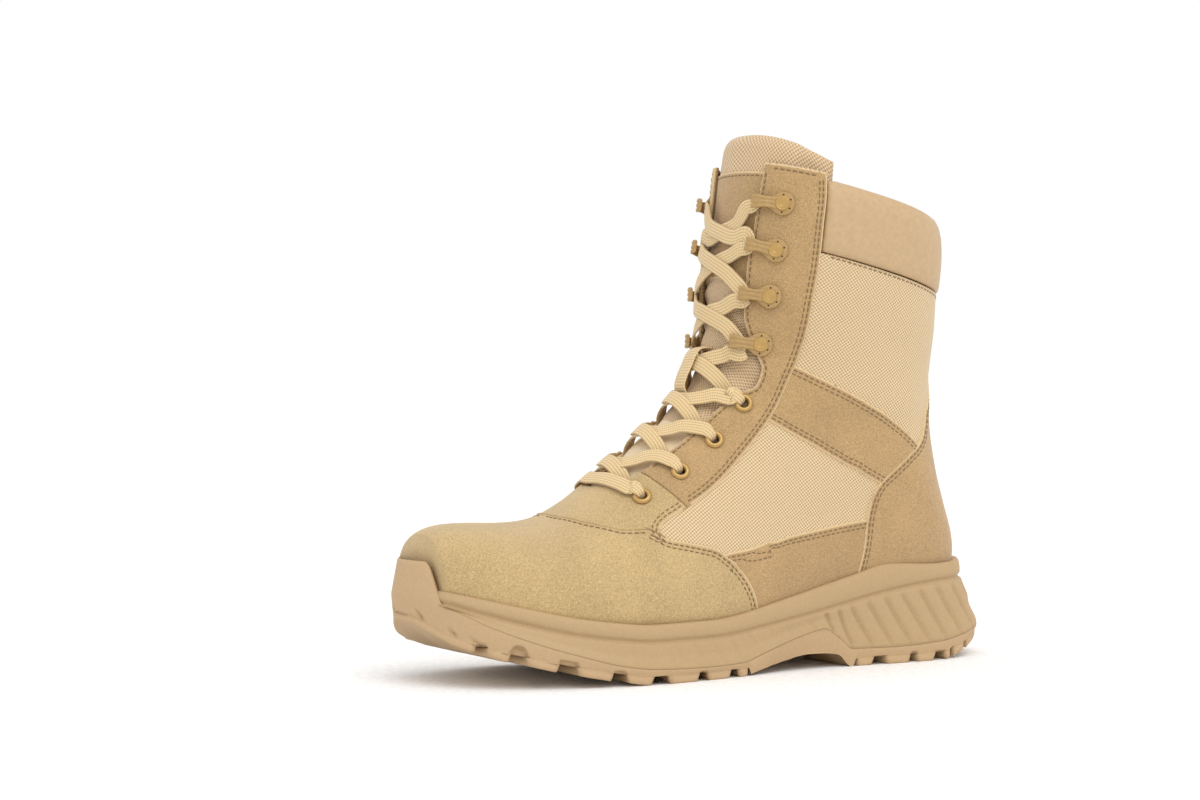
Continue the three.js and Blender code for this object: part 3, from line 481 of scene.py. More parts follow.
def skin(name, loop, material, slot, top=0.0, base=PANEL_BASE, holes=(), spacing=2.0, rounding=1.0,
         rings=(0.35, 0.9), seams=(), nodes=(), sealed_back=False, tucked=()):
    """A sheet of leather, cloth or lining on the last, as a closed solid. loop and holes are chart
    loops, top and base its offsets, rounding the radius of its edge, and seams are the distances from
    the edge at which a stitched line pulls it down. tucked lines are edges that show no raw cut."""
    loop = thin_out(loop)
    holes = [thin_out(hole) for hole in holes]
    fixed = [loop, *holes]
    extra = [interior_spots(loop, spacing)]
    for distance in rings:
        for line in fixed:
            for sign in (1, -1):
                extra.append(inset_spots(line, sign * distance))
    extra = np.vstack(extra)
    extra = extra[within(extra, loop, holes)]
    rim = np.vstack(fixed)
    from_rim = gaps(surface(*from_chart(extra), 0.0), surface(*from_chart(rim), 0.0))
    spots = np.vstack([rim, extra[from_rim > min(rings) * 0.75]])
    edges, start = [], 0
    for line in fixed:
        count = len(line)
        edges += [(start + i, start + (i + 1) % count) for i in range(count)]
        start += count
    out = delaunay_2d_cdt([Vector(spot) for spot in spots], edges, [], 0, 1e-4)
    flat = np.array([tuple(v) for v in out[0]])
    faces = np.array(out[2])
    faces = faces[within(flat[faces].mean(axis=1), loop, holes)]
    used, faces = np.unique(faces, return_inverse=True)
    faces = faces.reshape(-1, 3)
    flat = flat[used]
    row, turn = from_chart(flat)
    a, b, c = flat[faces[:, 0]], flat[faces[:, 1]], flat[faces[:, 2]]
    area = (b[:, 0] - a[:, 0]) * (c[:, 1] - a[:, 1]) - (b[:, 1] - a[:, 1]) * (c[:, 0] - a[:, 0])
    flipped = area > 0
    faces[flipped] = faces[flipped][:, ::-1]
    pairs = dict.fromkeys((face[k], face[(k + 1) % 3]) for face in faces for k in range(3))
    border = [(i, j) for (i, j) in pairs if (j, i) not in pairs]
    middle = surface(row, turn, 0.0)
    border_ids = sorted({i for pair in border for i in pair})
    distance = gaps(middle, middle[border_ids])
    height = np.full(len(flat), float(top))
    if rounding:
        share = np.clip(distance / rounding, 0, 1)
        height = base + 0.15 + (top - base - 0.15) * np.sqrt(np.clip(1 - (1 - share) ** 2, 0, 1))
    for seam in seams:
        height -= 0.22 * np.exp(-(((distance - seam) / 0.55) ** 2))
    outer = surface(row, turn, height)
    inner = surface(row, turn, np.full(len(flat), float(base)))
    count = len(flat)
    everything = [tuple(face) for face in faces] + [tuple(face[::-1] + count) for face in faces]
    for i, j in border:
        on_seam = sealed_back and abs(abs(turn[i]) - 0.5) < 1e-4 and abs(abs(turn[j]) - 0.5) < 1e-4
        if not on_seam:
            everything.append((j, i, i + count, j + count))
    piece = make(name, np.vstack([outer, inner]), everything, material, slot, nodes)
    shown = distance.copy()
    for line in tucked:
        shown[gaps(middle, surface(*from_chart(line), 0.0)) < TUCK_REACH] = NO_EDGE
    set_attribute(piece, "from_edge", np.tile(shown, 2))
    if sealed_back:
        weld(piece)
    return piece


def weld(piece, distance=1e-5):
    bm = bmesh.new()
    bm.from_mesh(piece.data)
    bmesh.ops.remove_doubles(bm, verts=bm.verts, dist=distance)
    bm.to_mesh(piece.data)
    bm.free()
    piece.data.shade_smooth()


def join_shapes(shapes):
    """One vertex and face list from many."""
    verts, faces, start = [], [], 0
    for points, polygons in shapes:
        verts.append(np.asarray(points, float))
        faces += [tuple(int(i) + start for i in polygon) for polygon in polygons]
        start += len(points)
    return np.vstack(verts), faces


def loft(rings, closed_ends=True, flip_faces=False):
    """A closed skin through rings of equal counts, with a fan at each end."""
    rings = [np.asarray(ring, float) for ring in rings]
    count = len(rings[0])
    verts = np.vstack(rings)
    faces = []
    for i in range(len(rings) - 1):
        for j in range(count):
            k = (j + 1) % count
            faces.append((i * count + j, i * count + k, (i + 1) * count + k, (i + 1) * count + j))
    if closed_ends:
        verts = np.vstack([verts, rings[0].mean(axis=0), rings[-1].mean(axis=0)])
        last = (len(rings) - 1) * count
        faces += [(len(verts) - 2, (j + 1) % count, j) for j in range(count)]
        faces += [(len(verts) - 1, last + j, last + (j + 1) % count) for j in range(count)]
    if flip_faces:
        faces = [face[::-1] for face in faces]
    return verts, faces


def revolve(profile, count=32):
    """A ring or disc from (radius, height) pairs that close on themselves or end on the axis."""
    profile = np.array(profile, float)
    angles = np.linspace(0, 2 * math.pi, count, endpoint=False)
    verts, faces, rows = [], [], []
    for radius, height in profile:
        if radius < 1e-6:
            rows.append([len(verts)] * count)
            verts.append((0, 0, height))
            continue
        rows.append(list(range(len(verts), len(verts) + count)))
        verts += [(radius * math.cos(a), radius * math.sin(a), height) for a in angles]
    closed = profile[0][0] > 1e-6
    pairs = list(zip(rows, rows[1:] + rows[:1])) if closed else list(zip(rows, rows[1:]))
    for low, high in pairs:
        for j in range(count):
            k = (j + 1) % count
            face = [low[j], low[k], high[k], high[j]]
            face = [v for n, v in enumerate(face) if v != face[n - 1]]
            if len(face) > 2:
                faces.append(tuple(face[::-1]))
    return np.array(verts), faces


def placed(shape, basis, origin):
    """A shape moved so that its x, y and z lie along the rows of basis, at origin."""
    points, faces = shape
    return np.asarray(points) @ np.asarray(basis) + np.asarray(origin), faces


def between(mark, marks, values):
    """Points or directions known at marks along a line, read at other marks."""
    return np.stack([np.interp(mark, marks, column) for column in values.T], -1)


def ribbon(points, ups, width, thickness, step=0.9, edge=0.3):
    """A flat cord: its mid-line, which way it faces, and its width and thickness along the way, as a
    closed solid with soft edges. Gives vertices, faces and a flat place for each vertex."""
    points, ups = np.array(points, float), np.array(ups, float)
    marks = distances(points)
    dense = curve_through(points, step)
    travelled = distances(dense)
    share = travelled / travelled[-1] * marks[-1]
    up = between(share, marks, ups)
    width = np.interp(share, marks, np.broadcast_to(width, len(marks)))
    thickness = np.interp(share, marks, np.broadcast_to(thickness, len(marks)))
    along = np.gradient(dense, axis=0)
    across = unit(np.cross(along, up))
    up = unit(np.cross(across, along))
    section = []
    for k in range(9):
        section.append((-1 + k / 4, 1 - edge * abs(-1 + k / 4) ** 4))
    section += [(1.04, 0.35), (1.04, -0.35)]
    section += [(a, -b) for a, b in section[8::-1]] + [(-1.04, -0.35), (-1.04, 0.35)]
    rings = [
        dense + across * (a * width / 2)[:, None] + up * (b * thickness / 2)[:, None] for a, b in section
    ]
    rings = np.stack(rings, 1)
    verts, faces = loft(list(rings), flip_faces=True)
    flat = np.array([[(s, a * w / 2) for a, _ in section] for s, w in zip(travelled, width)]).reshape(-1, 2)
    flat = np.vstack([flat, flat[:1], flat[-1:]])
    return verts, faces, flat


# ------ stitches
def size(name):
    """One of the boot's adjustable sizes, in millimetres."""
    return getattr(bpy.context.scene.boot_sizes, name) / MM


def stitch_template():
    """One stitch lying along X, round like its thread and sunk at its ends."""
    length, radius = size("stitch_length"), size("thread_width") / 2
    rings = []
    for x, r in ((-1.0, 0.25), (-0.8, 0.8), (-0.3, 1.0), (0.3, 1.0), (0.8, 0.8), (1.0, 0.25)):
        rings.append([
            (x * length / 2, r * radius * 1.25 * math.cos(a), r * radius * math.sin(a))
            for a in np.linspace(0, 2 * math.pi, 6, endpoint=False)
        ])
    return loft(rings)


def stitches_along(points, normals, template):
    """A row of stitches on a line of points, each lying along the line."""
    marks = distances(points)
    shapes = []
    pitch = size("stitch_pitch")
    for mark in np.arange(pitch / 2, marks[-1], pitch):
        spot, up = between(mark, marks, points), between(mark, marks, normals)
        x = between(mark + 0.5, marks, points) - between(mark - 0.5, marks, points)
        if np.linalg.norm(x) < 1e-6:
            continue
        x /= np.linalg.norm(x)
        y = np.cross(up, x)
        y /= np.linalg.norm(y)
        z = np.cross(x, y)
        shapes.append(placed(template, (x, y, z), spot))
    return shapes


def inset_open(line, distance):
    """An open chart line moved sideways by a true distance; positive is to its left, seen from outside."""
    return inset_spots(line, distance)[2:-2] if distance else line


# ------ panels' edges
# Places where seams run on the outer side, as (x, z) seen from the side. The inner side mirrors them.
# VAMP_TOP is (x, y) seen from above, and BACKSTAY (y, z) seen from behind.
VAMP_TOP = ((228.2, -7), (228.3, 3.3), (226, 11.5), (222.6, 19.8), (218.1, 26.1), (210.6, 33.2))
VAMP_SIDE = ((204.1, 71.6), (198.4, 71.4), (194, 69), (189, 66.6), (180, 64.9), (171.7, 63.2),
             (163.5, 61), (155.8, 56), (147.3, 48), (141, 39), (137, 30), (135, 20))
WINDOW_CORNER = ((176, 80.8), (181, 78.4), (186, 76), (190.6, 73), (192.4, 70.4), (191, 68), (188, 65))
FACING_REAR = ((99, 246), (99.4, 229), (101.2, 214), (102.8, 200), (104, 190), (106, 175.6), (107.8, 163),
               (110.4, 152), (114.4, 141), (119, 131), (125.6, 121), (133.3, 112.6), (141, 105.3),
               (149.5, 97.6), (158, 91), (166.5, 85.6), (176, 80.8))
STRAP_TOP = ((120, 151), (112, 147.3), (104, 143.4), (95, 139.2), (85.4, 134.8), (77.4, 130.9),
             (66.8, 125.5), (58.2, 120.7), (50.2, 116), (44, 111.6), (37, 106))
STRAP_LOW = ((56, 84), (64.8, 88.8), (73.5, 93), (83.4, 97.7), (95, 103.6), (105.6, 109.4), (116.2, 115),
             (126.4, 120.9), (134, 125))
MUDGUARD_TOP = ((165, 56), (157, 58.8), (144, 60.4), (130, 63.2), (117.3, 65.7), (97.5, 68.6), (73.4, 71.6),
                (64, 73))
COUNTER_EDGE = ((77.5, 32), (76.8, 38), (75.8, 46), (74.6, 54), (73.8, 62), (73, 70), (71.6, 77), (70, 81.4),
                (67.6, 86.4), (64, 90.3), (59.6, 93.9), (53.6, 98.5), (47, 103.3), (41.8, 106.8),
                (38, 110.2), (34, 116), (30, 126))
BACKSTAY = ((17.5, 140), (16.6, 155), (16.2, 170), (16, 182), (16, 190))
ZIP_TOP = (50.0, 240.0)
ZIP_LOW = (83.0, 70.0)
ZIP_HALF = 4.7
ZIP_LENGTH = math.dist(ZIP_TOP, ZIP_LOW)
ZIP_ALONG = (np.array(ZIP_LOW) - ZIP_TOP) / ZIP_LENGTH
ZIP_ACROSS = np.array((-ZIP_ALONG[1], ZIP_ALONG[0]))
EYELETS = ((195.1, 27.7, 85.8), (174.2, 28.2, 97.2), (154.3, 26.9, 112), (136.9, 25.9, 129.2))
HOOKS = ((132.6, 34, 157.5), (127.8, 34.2, 180.6), (124.2, 34.4, 203.2), (120.4, 34.8, 225.8))


def footbed_turn(row):
    """The turn on the outer side where a section meets the footbed."""
    def above(turn):
        point = last_point(row, turn)
        return point[..., 2] > sole_bed(point[..., 0]) + 0.3

    return halved(np.shape(row), 0.3, 0.5, above)[0]


def zip_line(half):
    """A closed chart loop round the zip's slit on the inner side."""
    side = ZIP_ACROSS * -half
    start = ZIP_TOP - ZIP_ALONG * 2.0
    corners = [start + side, ZIP_LOW + side, ZIP_LOW + ZIP_ALONG * half * 0.8, ZIP_LOW - side, start - side]
    spots = []
    for (ax, az), (bx, bz) in zip(corners, corners[1:]):
        for t in np.linspace(0, 1, 24, endpoint=False):
            spots.append(side_spot(ax + (bx - ax) * t, az + (bz - az) * t))
    spots.append(side_spot(*corners[-1]))
    return np.array(spots) * (1, -1)


def eyelet_spots():
    """(row, turn) of each eyelet and hook on the outer side, from the bottom up."""
    return [tuple(map(float, locate("all", *point))) for point in EYELETS + HOOKS]


def hole_round(row, turn, radius, count=20):
    """A chart loop of a true circle on the surface."""
    per_row, per_turn = slopes(row, turn)
    x = per_turn / np.linalg.norm(per_turn)
    y = np.cross(last_normal(row, turn), x)
    jacobian = np.stack([per_row, per_turn], 1)
    loop = []
    for angle in np.linspace(0, 2 * math.pi, count, endpoint=False):
        move = radius * (math.cos(angle) * x + math.sin(angle) * y)
        d_row, d_turn = np.linalg.lstsq(jacobian, move, rcond=None)[0]
        loop.append(to_chart(row + d_row, turn + d_turn))
    return np.array(loop)


# ------ the sole's tables
# The widest outline from above, once round from the heel's back by the outer side to the toe tip.
OUTLINE = (
    (-15, 0), (-9.5, 20), (7, 34.5), (30, 40.3), (60, 41), (90, 40), (120, 42.5), (150, 48.5), (180, 53.6),
    (205, 55.4), (230, 53.6), (254, 47.4), (277, 36.5), (294.5, 17.5), (303.6, -9), (298.5, -29.5),
    (285, -43), (265, -51), (240, -54), (213, -52), (182, -45.6), (150, -38.6), (117, -35.4), (83, -37.4),
    (52, -39.8), (26, -39.6), (5, -34), (-10, -19.5),
)
TOE_POINT = 14
SOLE_COLUMNS = ("x", "tread", "deck", "joint", "groove", "rim", "bed", "tuck")
SOLE = (
    (-16, 12, 15.8, 16.4, 40, 49.8, 36.5, 10.8), (0, 7, 12.8, 13.8, 40, 49.2, 36.5, 8.6),
    (14, 2.6, 10.6, 11.4, 39.8, 48.2, 36.4, 6.6), (26, 0, 8.8, 9.6, 39.4, 48, 36, 5.2),
    (57, 0, 8.2, 8.3, 36.0, 49.3, 34, 4.4), (82, 0, 8.6, 8.7, 31.4, 44, 29.8, 4.2),
    (90, 6.2, 13.6, 14.4, 29.9, 42.1, 28.2, 4.2), (99, 7.4, 17.8, 19.3, 28.2, 40.1, 26.6, 4.2),
    (108, 7.6, 16.6, 17.8, 26.7, 38, 25, 4.1), (124, 5.4, 13.2, 13.8, 24.3, 34.6, 22, 4.0),
    (143, 1.6, 8.2, 8.6, 21.6, 30.6, 19.2, 3.8), (150, 0, 6.6, 6.8, 20.7, 29.4, 18.4, 3.8),
    (166, 0, 6.2, 6.2, 19.6, 27.8, 17.4, 3.8), (203, 0, 7.0, 7.2, 19.6, 27.6, 17.4, 3.8),
    (222, 2.4, 9.0, 9.8, 21.4, 29.4, 19.2, 3.8), (241, 5.8, 12.2, 14.8, 24.2, 32.2, 22.4, 4.0),
    (260, 10.0, 16.2, 20.8, 28.6, 36.4, 26.8, 4.2), (279, 15.0, 21.2, 28.6, 34.0, 41, 31.8, 4.6),
    (292, 20.4, 26.4, 36.0, 38.4, 44.2, 35.6, 5.0), (304, 31.0, 33.0, 41, 42.2, 47, 39, 5.4),
)
sole_curves = {
    name: level_curve([row[0] for row in SOLE], [row[i] for row in SOLE])
    for i, name in enumerate(SOLE_COLUMNS)
}
sole_bed = sole_curves["bed"]

# ------ pieces: lining, cloth and suede
SUEDE_SPACING = 1.7
# the rows between which the upper's side meets the footbed
FOOT_ROWS = (2.6, 13.55)


def shell_loop(throat_inset):
    """The whole upper's outline in the chart, opened along the back seam."""
    foot_rows = np.linspace(*FOOT_ROWS, 70)
    foot = to_chart(foot_rows, footbed_turn(foot_rows))
    rear_top = locate("side", 99.2, 238)
    rear_low = locate("side", 102.9, 201)
    collar = row_line(COLLAR_BASE - 0.02, 0.5, rear_low[1], 40)
    rear = curve_through([to_chart(*rear_low), side_spot(100.4, 222), to_chart(*rear_top),
                          to_chart(COLLAR_TOP, rear_top[1])], 1.2)
    throat = throat_line(COLLAR_TOP, 8.36, throat_inset)
    top = row_line(COLLAR_TOP, rear_top[1], throat[0, 1] / CHART_ROUND, 12)
    back = to_chart(np.linspace(FOOT_ROWS[1], COLLAR_BASE - 0.02, 50), np.full(50, 0.5))
    outer = np.vstack([foot, back[1:], collar[1:], rear[1:], top[1:], throat[1:]])
    return np.vstack([outer, flip(outer)])


def eyelet_holes(radius):
    holes = []
    for row, turn in eyelet_spots()[:len(EYELETS)]:
        loop = hole_round(row, turn, radius)
        holes += [loop, loop * (1, -1)]
    return holes


def build_shells(lining, cloth):
    holes = [zip_line(ZIP_HALF), *eyelet_holes(3.9)]
    skin("lining_shell", shell_loop(0.6), lining, "foam", top=LINING_TOP - 0.05, base=-WALL, holes=holes,
         spacing=2.6, rounding=0, rings=(1.0,), sealed_back=True)
    skin("fabric_shell", shell_loop(0.3), cloth, "webbing", top=FABRIC_TOP, base=LINING_TOP, holes=holes,
         spacing=2.0, rounding=0, rings=(0.8,), sealed_back=True, nodes=("upper",))


def vamp_edge():
    """The vamp's upper edge, from the throat's point over the instep and down to the sole."""
    above = [to_chart(*locate("top", a, b)) for a, b in VAMP_TOP[1:]]
    above.insert(0, above[0] * (1, -1))
    beside = [side_spot(*place) for place in VAMP_SIDE]
    line = curve_through(above + beside, 1.1)
    return line[line[:, 1] >= 0]


def line_between(line, first, last):
    """The part of a chart line between the spots nearest to two others, both included."""
    a = int(np.argmin(((line - first) ** 2).sum(-1)))
    b = int(np.argmin(((line - last) ** 2).sum(-1)))
    return line[min(a, b):max(a, b) + 1]


def foot_line(first_x, last_x):
    """Where the upper's side meets the footbed on the outer side, from one x to another."""
    rows = np.linspace(*FOOT_ROWS, 260)
    turn = footbed_turn(rows)
    x = last_point(rows, turn)[:, 0]
    keep = (x >= min(first_x, last_x)) & (x <= max(first_x, last_x))
    line = to_chart(rows[keep], turn[keep] - 0.003)
    return line[::4] if first_x > last_x else line[::-4]


class Seams:
    """Collects the stitches of every panel, to be joined into one piece."""

    def __init__(self):
        self.template = stitch_template()
        self.shapes = []

    def sew(self, line, insets, top, loop, both=True, back=False):
        """Rows of stitches inside a panel's edge, on one side or mirrored onto both."""
        for inset in insets:
            moved = inset_open(line, inset)
            if inside(moved, loop).mean() < 0.5:
                moved = inset_open(line, -inset)
            lines = [moved]
            if both:
                lines.append(flip_back(moved) if back else flip(moved))
            for spots in lines:
                row, turn = from_chart(spots)
                points = surface(row, turn, np.full(len(row), top - 0.05))
                self.shapes += stitches_along(points, last_normal(row, turn), self.template)


def piping(name, line, radius, offset, material, slot):
    """A raised ridge that follows a seam."""
    row, turn = from_chart(line)
    centre = surface(row, turn, np.full(len(row), offset))
    normal = last_normal(row, turn)
    side = np.cross(normal, unit(np.gradient(centre, axis=0)))
    rings = []
    for i, (p, n, s) in enumerate(zip(centre, normal, side)):
        reach = radius * min(1.0, 0.25 + i / 6, 0.25 + (len(centre) - 1 - i) / 6)
        rings.append([
            p + reach * (math.cos(a) * s * 1.5 + math.sin(a) * n)
            for a in np.linspace(0, 2 * math.pi, 10, endpoint=False)
        ])
    piece = make(name, *loft(rings), material, slot)
    set_attribute(piece, "from_edge", np.full(len(piece.data.vertices), NO_EDGE))
    return piece


def panel_edges():
    """The chart lines that the suede panels share."""
    vamp = vamp_edge()
    corner = edge_line("side", *WINDOW_CORNER)
    seam_rear = side_spot(*FACING_REAR[-1])
    seam_front = throat_line(9.2, 9.2)[0]
    seam = curve_through([seam_rear, (seam_rear + seam_front) / 2 + (-0.6, 0), seam_front], 1.1)
    rear = edge_line("side", *FACING_REAR)
    return vamp, corner, seam, rear


# one side of the strip round the zip: how far down from the zip's top, and how far out of its middle
PLACKET = ((44.5, 12.5), (ZIP_LENGTH / 2, 12.5), (ZIP_LENGTH - 2, 12.5), (ZIP_LENGTH + 6.5, 9))
DOUBLE_ROW = (2.2, 4.1)
SIDES = (("outer", 1), ("inner", -1))


def panel(name, loop, material, top, rounding=0.8, **more):
    """A suede panel on the upper."""
    skin(f"suede_{name}", loop, material, "suede", top=top, spacing=SUEDE_SPACING, rounding=rounding,
         rings=(0.35, 0.9, 2.0), **more)


# shaded_suede is the same suede again, darkened with painted shade for the facings, mudguards, straps, heel
# counter and placket, which turn away from the light
def build_suede(suede, shaded_suede, thread):
    vamp, corner, seam, rear = panel_edges()
    seams = Seams()
    foot_end = float(last_point(*[v[-1] for v in from_chart(vamp)])[0])

    # the vamp and toe, over both sides
    half = np.vstack([foot_line(300, foot_end - 1), vamp[::-1]])
    loop = np.vstack([half, flip(half)])
    start = line_between(vamp, vamp[0], side_spot(*VAMP_SIDE[1]))
    panel("vamp", loop, suede, 0.05, 0.9, seams=(2.2,), tucked=(start, flip(start)))
    seams.sew(start, (2.4,), 0.05, loop)
    lower = vamp[len(start) - 1:]
    seams.sew(lower, (2.3, 4.2), 0.05, loop)
    piping("suede_vamp_ridge", np.vstack([flip(start), start[1:]]), 0.6, 0.0, suede, "suede")

    # the throat piece, round the lowest eyelets
    corner_down = corner[::-1]
    low_vamp = line_between(vamp, vamp[0], corner[-1])
    throat_low = throat_line(9.2, 8.37)
    half = np.vstack([low_vamp, corner_down, seam, throat_low[1:]])
    loop = np.vstack([half, flip(half)])
    holes = eyelet_holes(3.7)
    skin("suede_throat", loop, suede, "suede", top=0.0, holes=holes[:2], spacing=SUEDE_SPACING,
         rounding=0.5, rings=(0.4, 1.1), tucked=(seam, flip(seam), low_vamp, flip(low_vamp)))
    seams.sew(corner, DOUBLE_ROW, 0.0, loop)
    seams.sew(throat_low, (2.0,), 0.0, loop)

    # the facings
    throat = throat_line(COLLAR_TOP - 0.02, 9.2)
    top_row = row_line(COLLAR_TOP - 0.02, rear[0, 1] / CHART_ROUND, throat[0, 1] / CHART_ROUND, 16)
    above = rear[:, 0] < top_row[0, 0]
    loop = np.vstack([seam, throat[::-1], top_row[::-1], rear[above]])
    for side, sign in SIDES:
        panel(f"facing_{side}", loop * (1, sign), shaded_suede, 0.2, 0.9, seams=(2.2,),
              holes=[hole * (1, sign) for hole in holes[2::2]], tucked=(seam * (1, sign),))
    seams.sew(throat, (2.2,), 0.2, loop)
    seams.sew(rear[above], DOUBLE_ROW, 0.2, loop)
    seams.sew(top_row, (2.4,), 0.2, loop)

    # the mudguards, straps, and the heel counter with its backstay
    guard_top = edge_line("side", *MUDGUARD_TOP)
    counter = edge_line("side", *COUNTER_EDGE)
    loop = np.vstack([guard_top, side_spot(68, 56), side_spot(66, 34), foot_line(67, 156)[1:-1]])
    strap_top, strap_low = edge_line("side", *STRAP_TOP), edge_line("side", *STRAP_LOW)
    strap = np.vstack([strap_top, strap_low])
    for side, sign in SIDES:
        slit = [zip_line(ZIP_HALF)] if sign < 0 else []
        panel(f"mudguard_{side}", loop * (1, sign), shaded_suede, -0.25, holes=slit)
        panel(f"strap_{side}", strap * (1, sign), shaded_suede, -0.2, holes=slit)
    seams.sew(guard_top[4:-2], DOUBLE_ROW, -0.25, loop)
    seams.sew(strap_top, DOUBLE_ROW, -0.2, strap)
    seams.sew(strap_low, DOUBLE_ROW, -0.2, strap)
    stay = edge_line("back", *BACKSTAY)
    stay_top = row_line(COLLAR_BASE - 0.03, float(stay[-1, 1] / CHART_ROUND), 0.5, 8)
    edge = curve_through(np.vstack([counter[::6], stay[::6], stay[-1:]]), 1.1)
    foot = foot_line(8, 76)
    start = to_chart(13.56, 0.5)[None]
    half = np.vstack([start, foot, edge, stay_top[1:]])
    loop = np.vstack([half, flip_back(half)])
    slit = zip_line(ZIP_HALF) + (0, CHART_ROUND)
    panel("counter", loop, shaded_suede, 0.2, 0.9, holes=[slit], seams=(2.2,))
    seams.sew(edge, DOUBLE_ROW, 0.2, loop, back=True)

    # the strips that hold the zip
    sides = [[ZIP_TOP + ZIP_ALONG * down + ZIP_ACROSS * out * sign for down, out in PLACKET]
             for sign in (1, -1)]
    outline = [*sides[0], ZIP_LOW + ZIP_ALONG * 10, *sides[1][::-1]]
    loop = edge_line("side", *outline) * (1, -1)
    panel("placket", loop, shaded_suede, 0.45, holes=[zip_line(ZIP_HALF)])
    seams.sew(loop, (1.7,), 0.45, loop, both=False)
    slit_edge = zip_line(ZIP_HALF + 2.0)
    keep = inside(slit_edge, loop)
    seams.sew(slit_edge[keep], (0.0,), 0.45, loop, both=False)

    # one row on the cloth just under the collar
    under = row_line(COLLAR_BASE - 0.09, float(rear[len(rear) // 4, 1] / CHART_ROUND) + 0.012, 0.453, 90)
    seams.sew(under, (0.0,), FABRIC_TOP, loop)
    make("stitches", *join_shapes(seams.shapes), thread, "webbing")


# ------ the sole
RING_POINTS = 1080
WRAP = 4.5
BUMPER_TOP = 57.6
BUMPER_BULGE = 41.0
BUMPER_OUTER = 13.0
BUMPER_INNER = 26.0
BUMPER_FALL = 16.5
BUMPER_LEAN = 3.0
TREAD_DEPTH = 4.0
NOTCH_REACH = 13.0
# x at the sole's edge, width, sweep along x towards the middle, and height up the side; an arched notch
# has a round top, the others a flat one
NOTCHES = (
    (9, 3, 4, 4.2, 1), (19.5, 3, 4, 5.4, 1), (28, 9, 4, 5, 0), (45, 6, 4, 5.6, 1), (65.5, 9.6, 4, 4.6, 0),
    (156.5, 6.5, -5, 4.2, 0), (176, 6.8, -5, 5.2, 1), (200.5, 10.4, -5, 4.2, 0), (222, 9, -5, 5.6, 1),
    (246.5, 10.6, -5, 6.4, 0), (268, 8.6, -4, 8.8, 1), (282, 5, -4, 5.5, 1),
)
NOTCH_DEPTH = 3.2
FLUTE_PITCH = 11.6
FLUTE_LEAN = 0.62


def outline_ring(count):
    """Points round the sole's widest outline, with outward directions and the distance from the toe."""
    dense = curve_through([(x, y) for x, y in OUTLINE], 0.4, closed=True)
    dense = np.vstack([dense, dense[:1]])
    marks = distances(dense)
    tip = marks[int(np.argmin(((dense - OUTLINE[TOE_POINT]) ** 2).sum(-1)))]
    half = count // 2
    spots = np.concatenate([np.linspace(0, tip, half, endpoint=False),
                            np.linspace(tip, marks[-1], half, endpoint=False)])
    ahead, behind = ((spots + step) % marks[-1] for step in (0.8, -0.8))
    along = unit(between(ahead, marks, dense) - between(behind, marks, dense))
    out = np.stack([-along[:, 1], along[:, 0]], -1)
    return between(spots, marks, dense), out, np.abs(spots - tip)


RING_AT, RING_OUT, RING_FROM_TOE = outline_ring(RING_POINTS)
RING_REACH = np.where(RING_AT[:, 1] < OUTLINE[TOE_POINT][1], BUMPER_INNER, BUMPER_OUTER)
RING_BUMPER = 1 - smooth((RING_FROM_TOE - RING_REACH) / BUMPER_FALL)


def level_ring(inset, height):
    """A ring round the sole, inset from the widest outline, at a height that follows x."""
    spots = RING_AT - RING_OUT * np.broadcast_to(inset, len(RING_AT))[:, None]
    return np.column_stack([spots, height(spots[:, 0])])


def cap(ring, height, rows=8, flip_faces=False):
    """Closes a ring with a sheet at a height that follows x, ruled across between its two sides."""
    count = len(ring)
    half = count // 2
    verts, faces, grid = [], [], []
    for i in range(1, half):
        a, b = ring[i], ring[count - i]
        line = [i]
        for j in range(1, rows):
            spot = a + (b - a) * j / rows
            line.append(count + len(verts))
            verts.append((spot[0], spot[1], float(height(spot[0], j / rows))))
        line.append(count - i)
        grid.append(line)
    for low, high in zip(grid, grid[1:]):
        for j in range(rows):
            faces.append((low[j], low[j + 1], high[j + 1], high[j]))
    faces.append((0, *grid[0][::-1]))
    faces.append((half, *grid[-1]))
    if flip_faces:
        faces = [face[::-1] for face in faces]
    return np.array(verts), faces


def ringed_solid(rings, low_cap, high_cap):
    """A closed skin through rings, from the lowest to the highest, with ruled caps."""
    verts, faces = loft(rings, closed_ends=False, flip_faces=True)
    count = len(rings[0])
    for ring_index, (height, rows), turned in ((0, low_cap, False), (len(rings) - 1, high_cap, True)):
        extra, polygons = cap(np.asarray(rings[ring_index]), height, rows, turned)
        start = len(verts) - count
        base = ring_index * count
        for polygon in polygons:
            faces.append(tuple(v + base if v < count else v + start for v in polygon))
        verts = np.vstack([verts, extra])
    return verts, faces


_wall_rows, _wall_turns = np.meshgrid(np.arange(0.3, 15, 0.1), np.linspace(0.14, 0.86, 240), indexing="ij")
_wall_points = last_point(_wall_rows, _wall_turns).reshape(-1, 3)
_wall_tree = kd_of(_wall_points)


def against_upper(ring, depth):
    """The ring moved to the upper's surface beside it, and depth further in, at the same height."""
    moved = []
    for point in ring:
        spot = _wall_points[_wall_tree.find(point)[1]]
        moved.append(spot[:2])
    moved = np.array(moved)
    for _ in range(3):
        moved = (np.roll(moved, 1, axis=0) + moved * 2 + np.roll(moved, -1, axis=0)) / 4
    return np.column_stack([moved - RING_OUT * depth, ring[:, 2]])


def room_beside_upper(height):
    """How far the upper's surface lies inside the sole's widest outline, at a height that follows x."""
    steps = np.arange(0, 14, 0.25)
    room = []
    for spot, out in zip(level_ring(0.0, height), RING_OUT):
        line = spot - np.outer(steps, (*out, 0.0))
        room.append(steps[int(np.argmin([_wall_tree.find(point)[2] for point in line]))])
    for _ in range(20):
        room = (np.roll(room, 1) + np.array(room) * 2 + np.roll(room, -1)) / 4
    return room


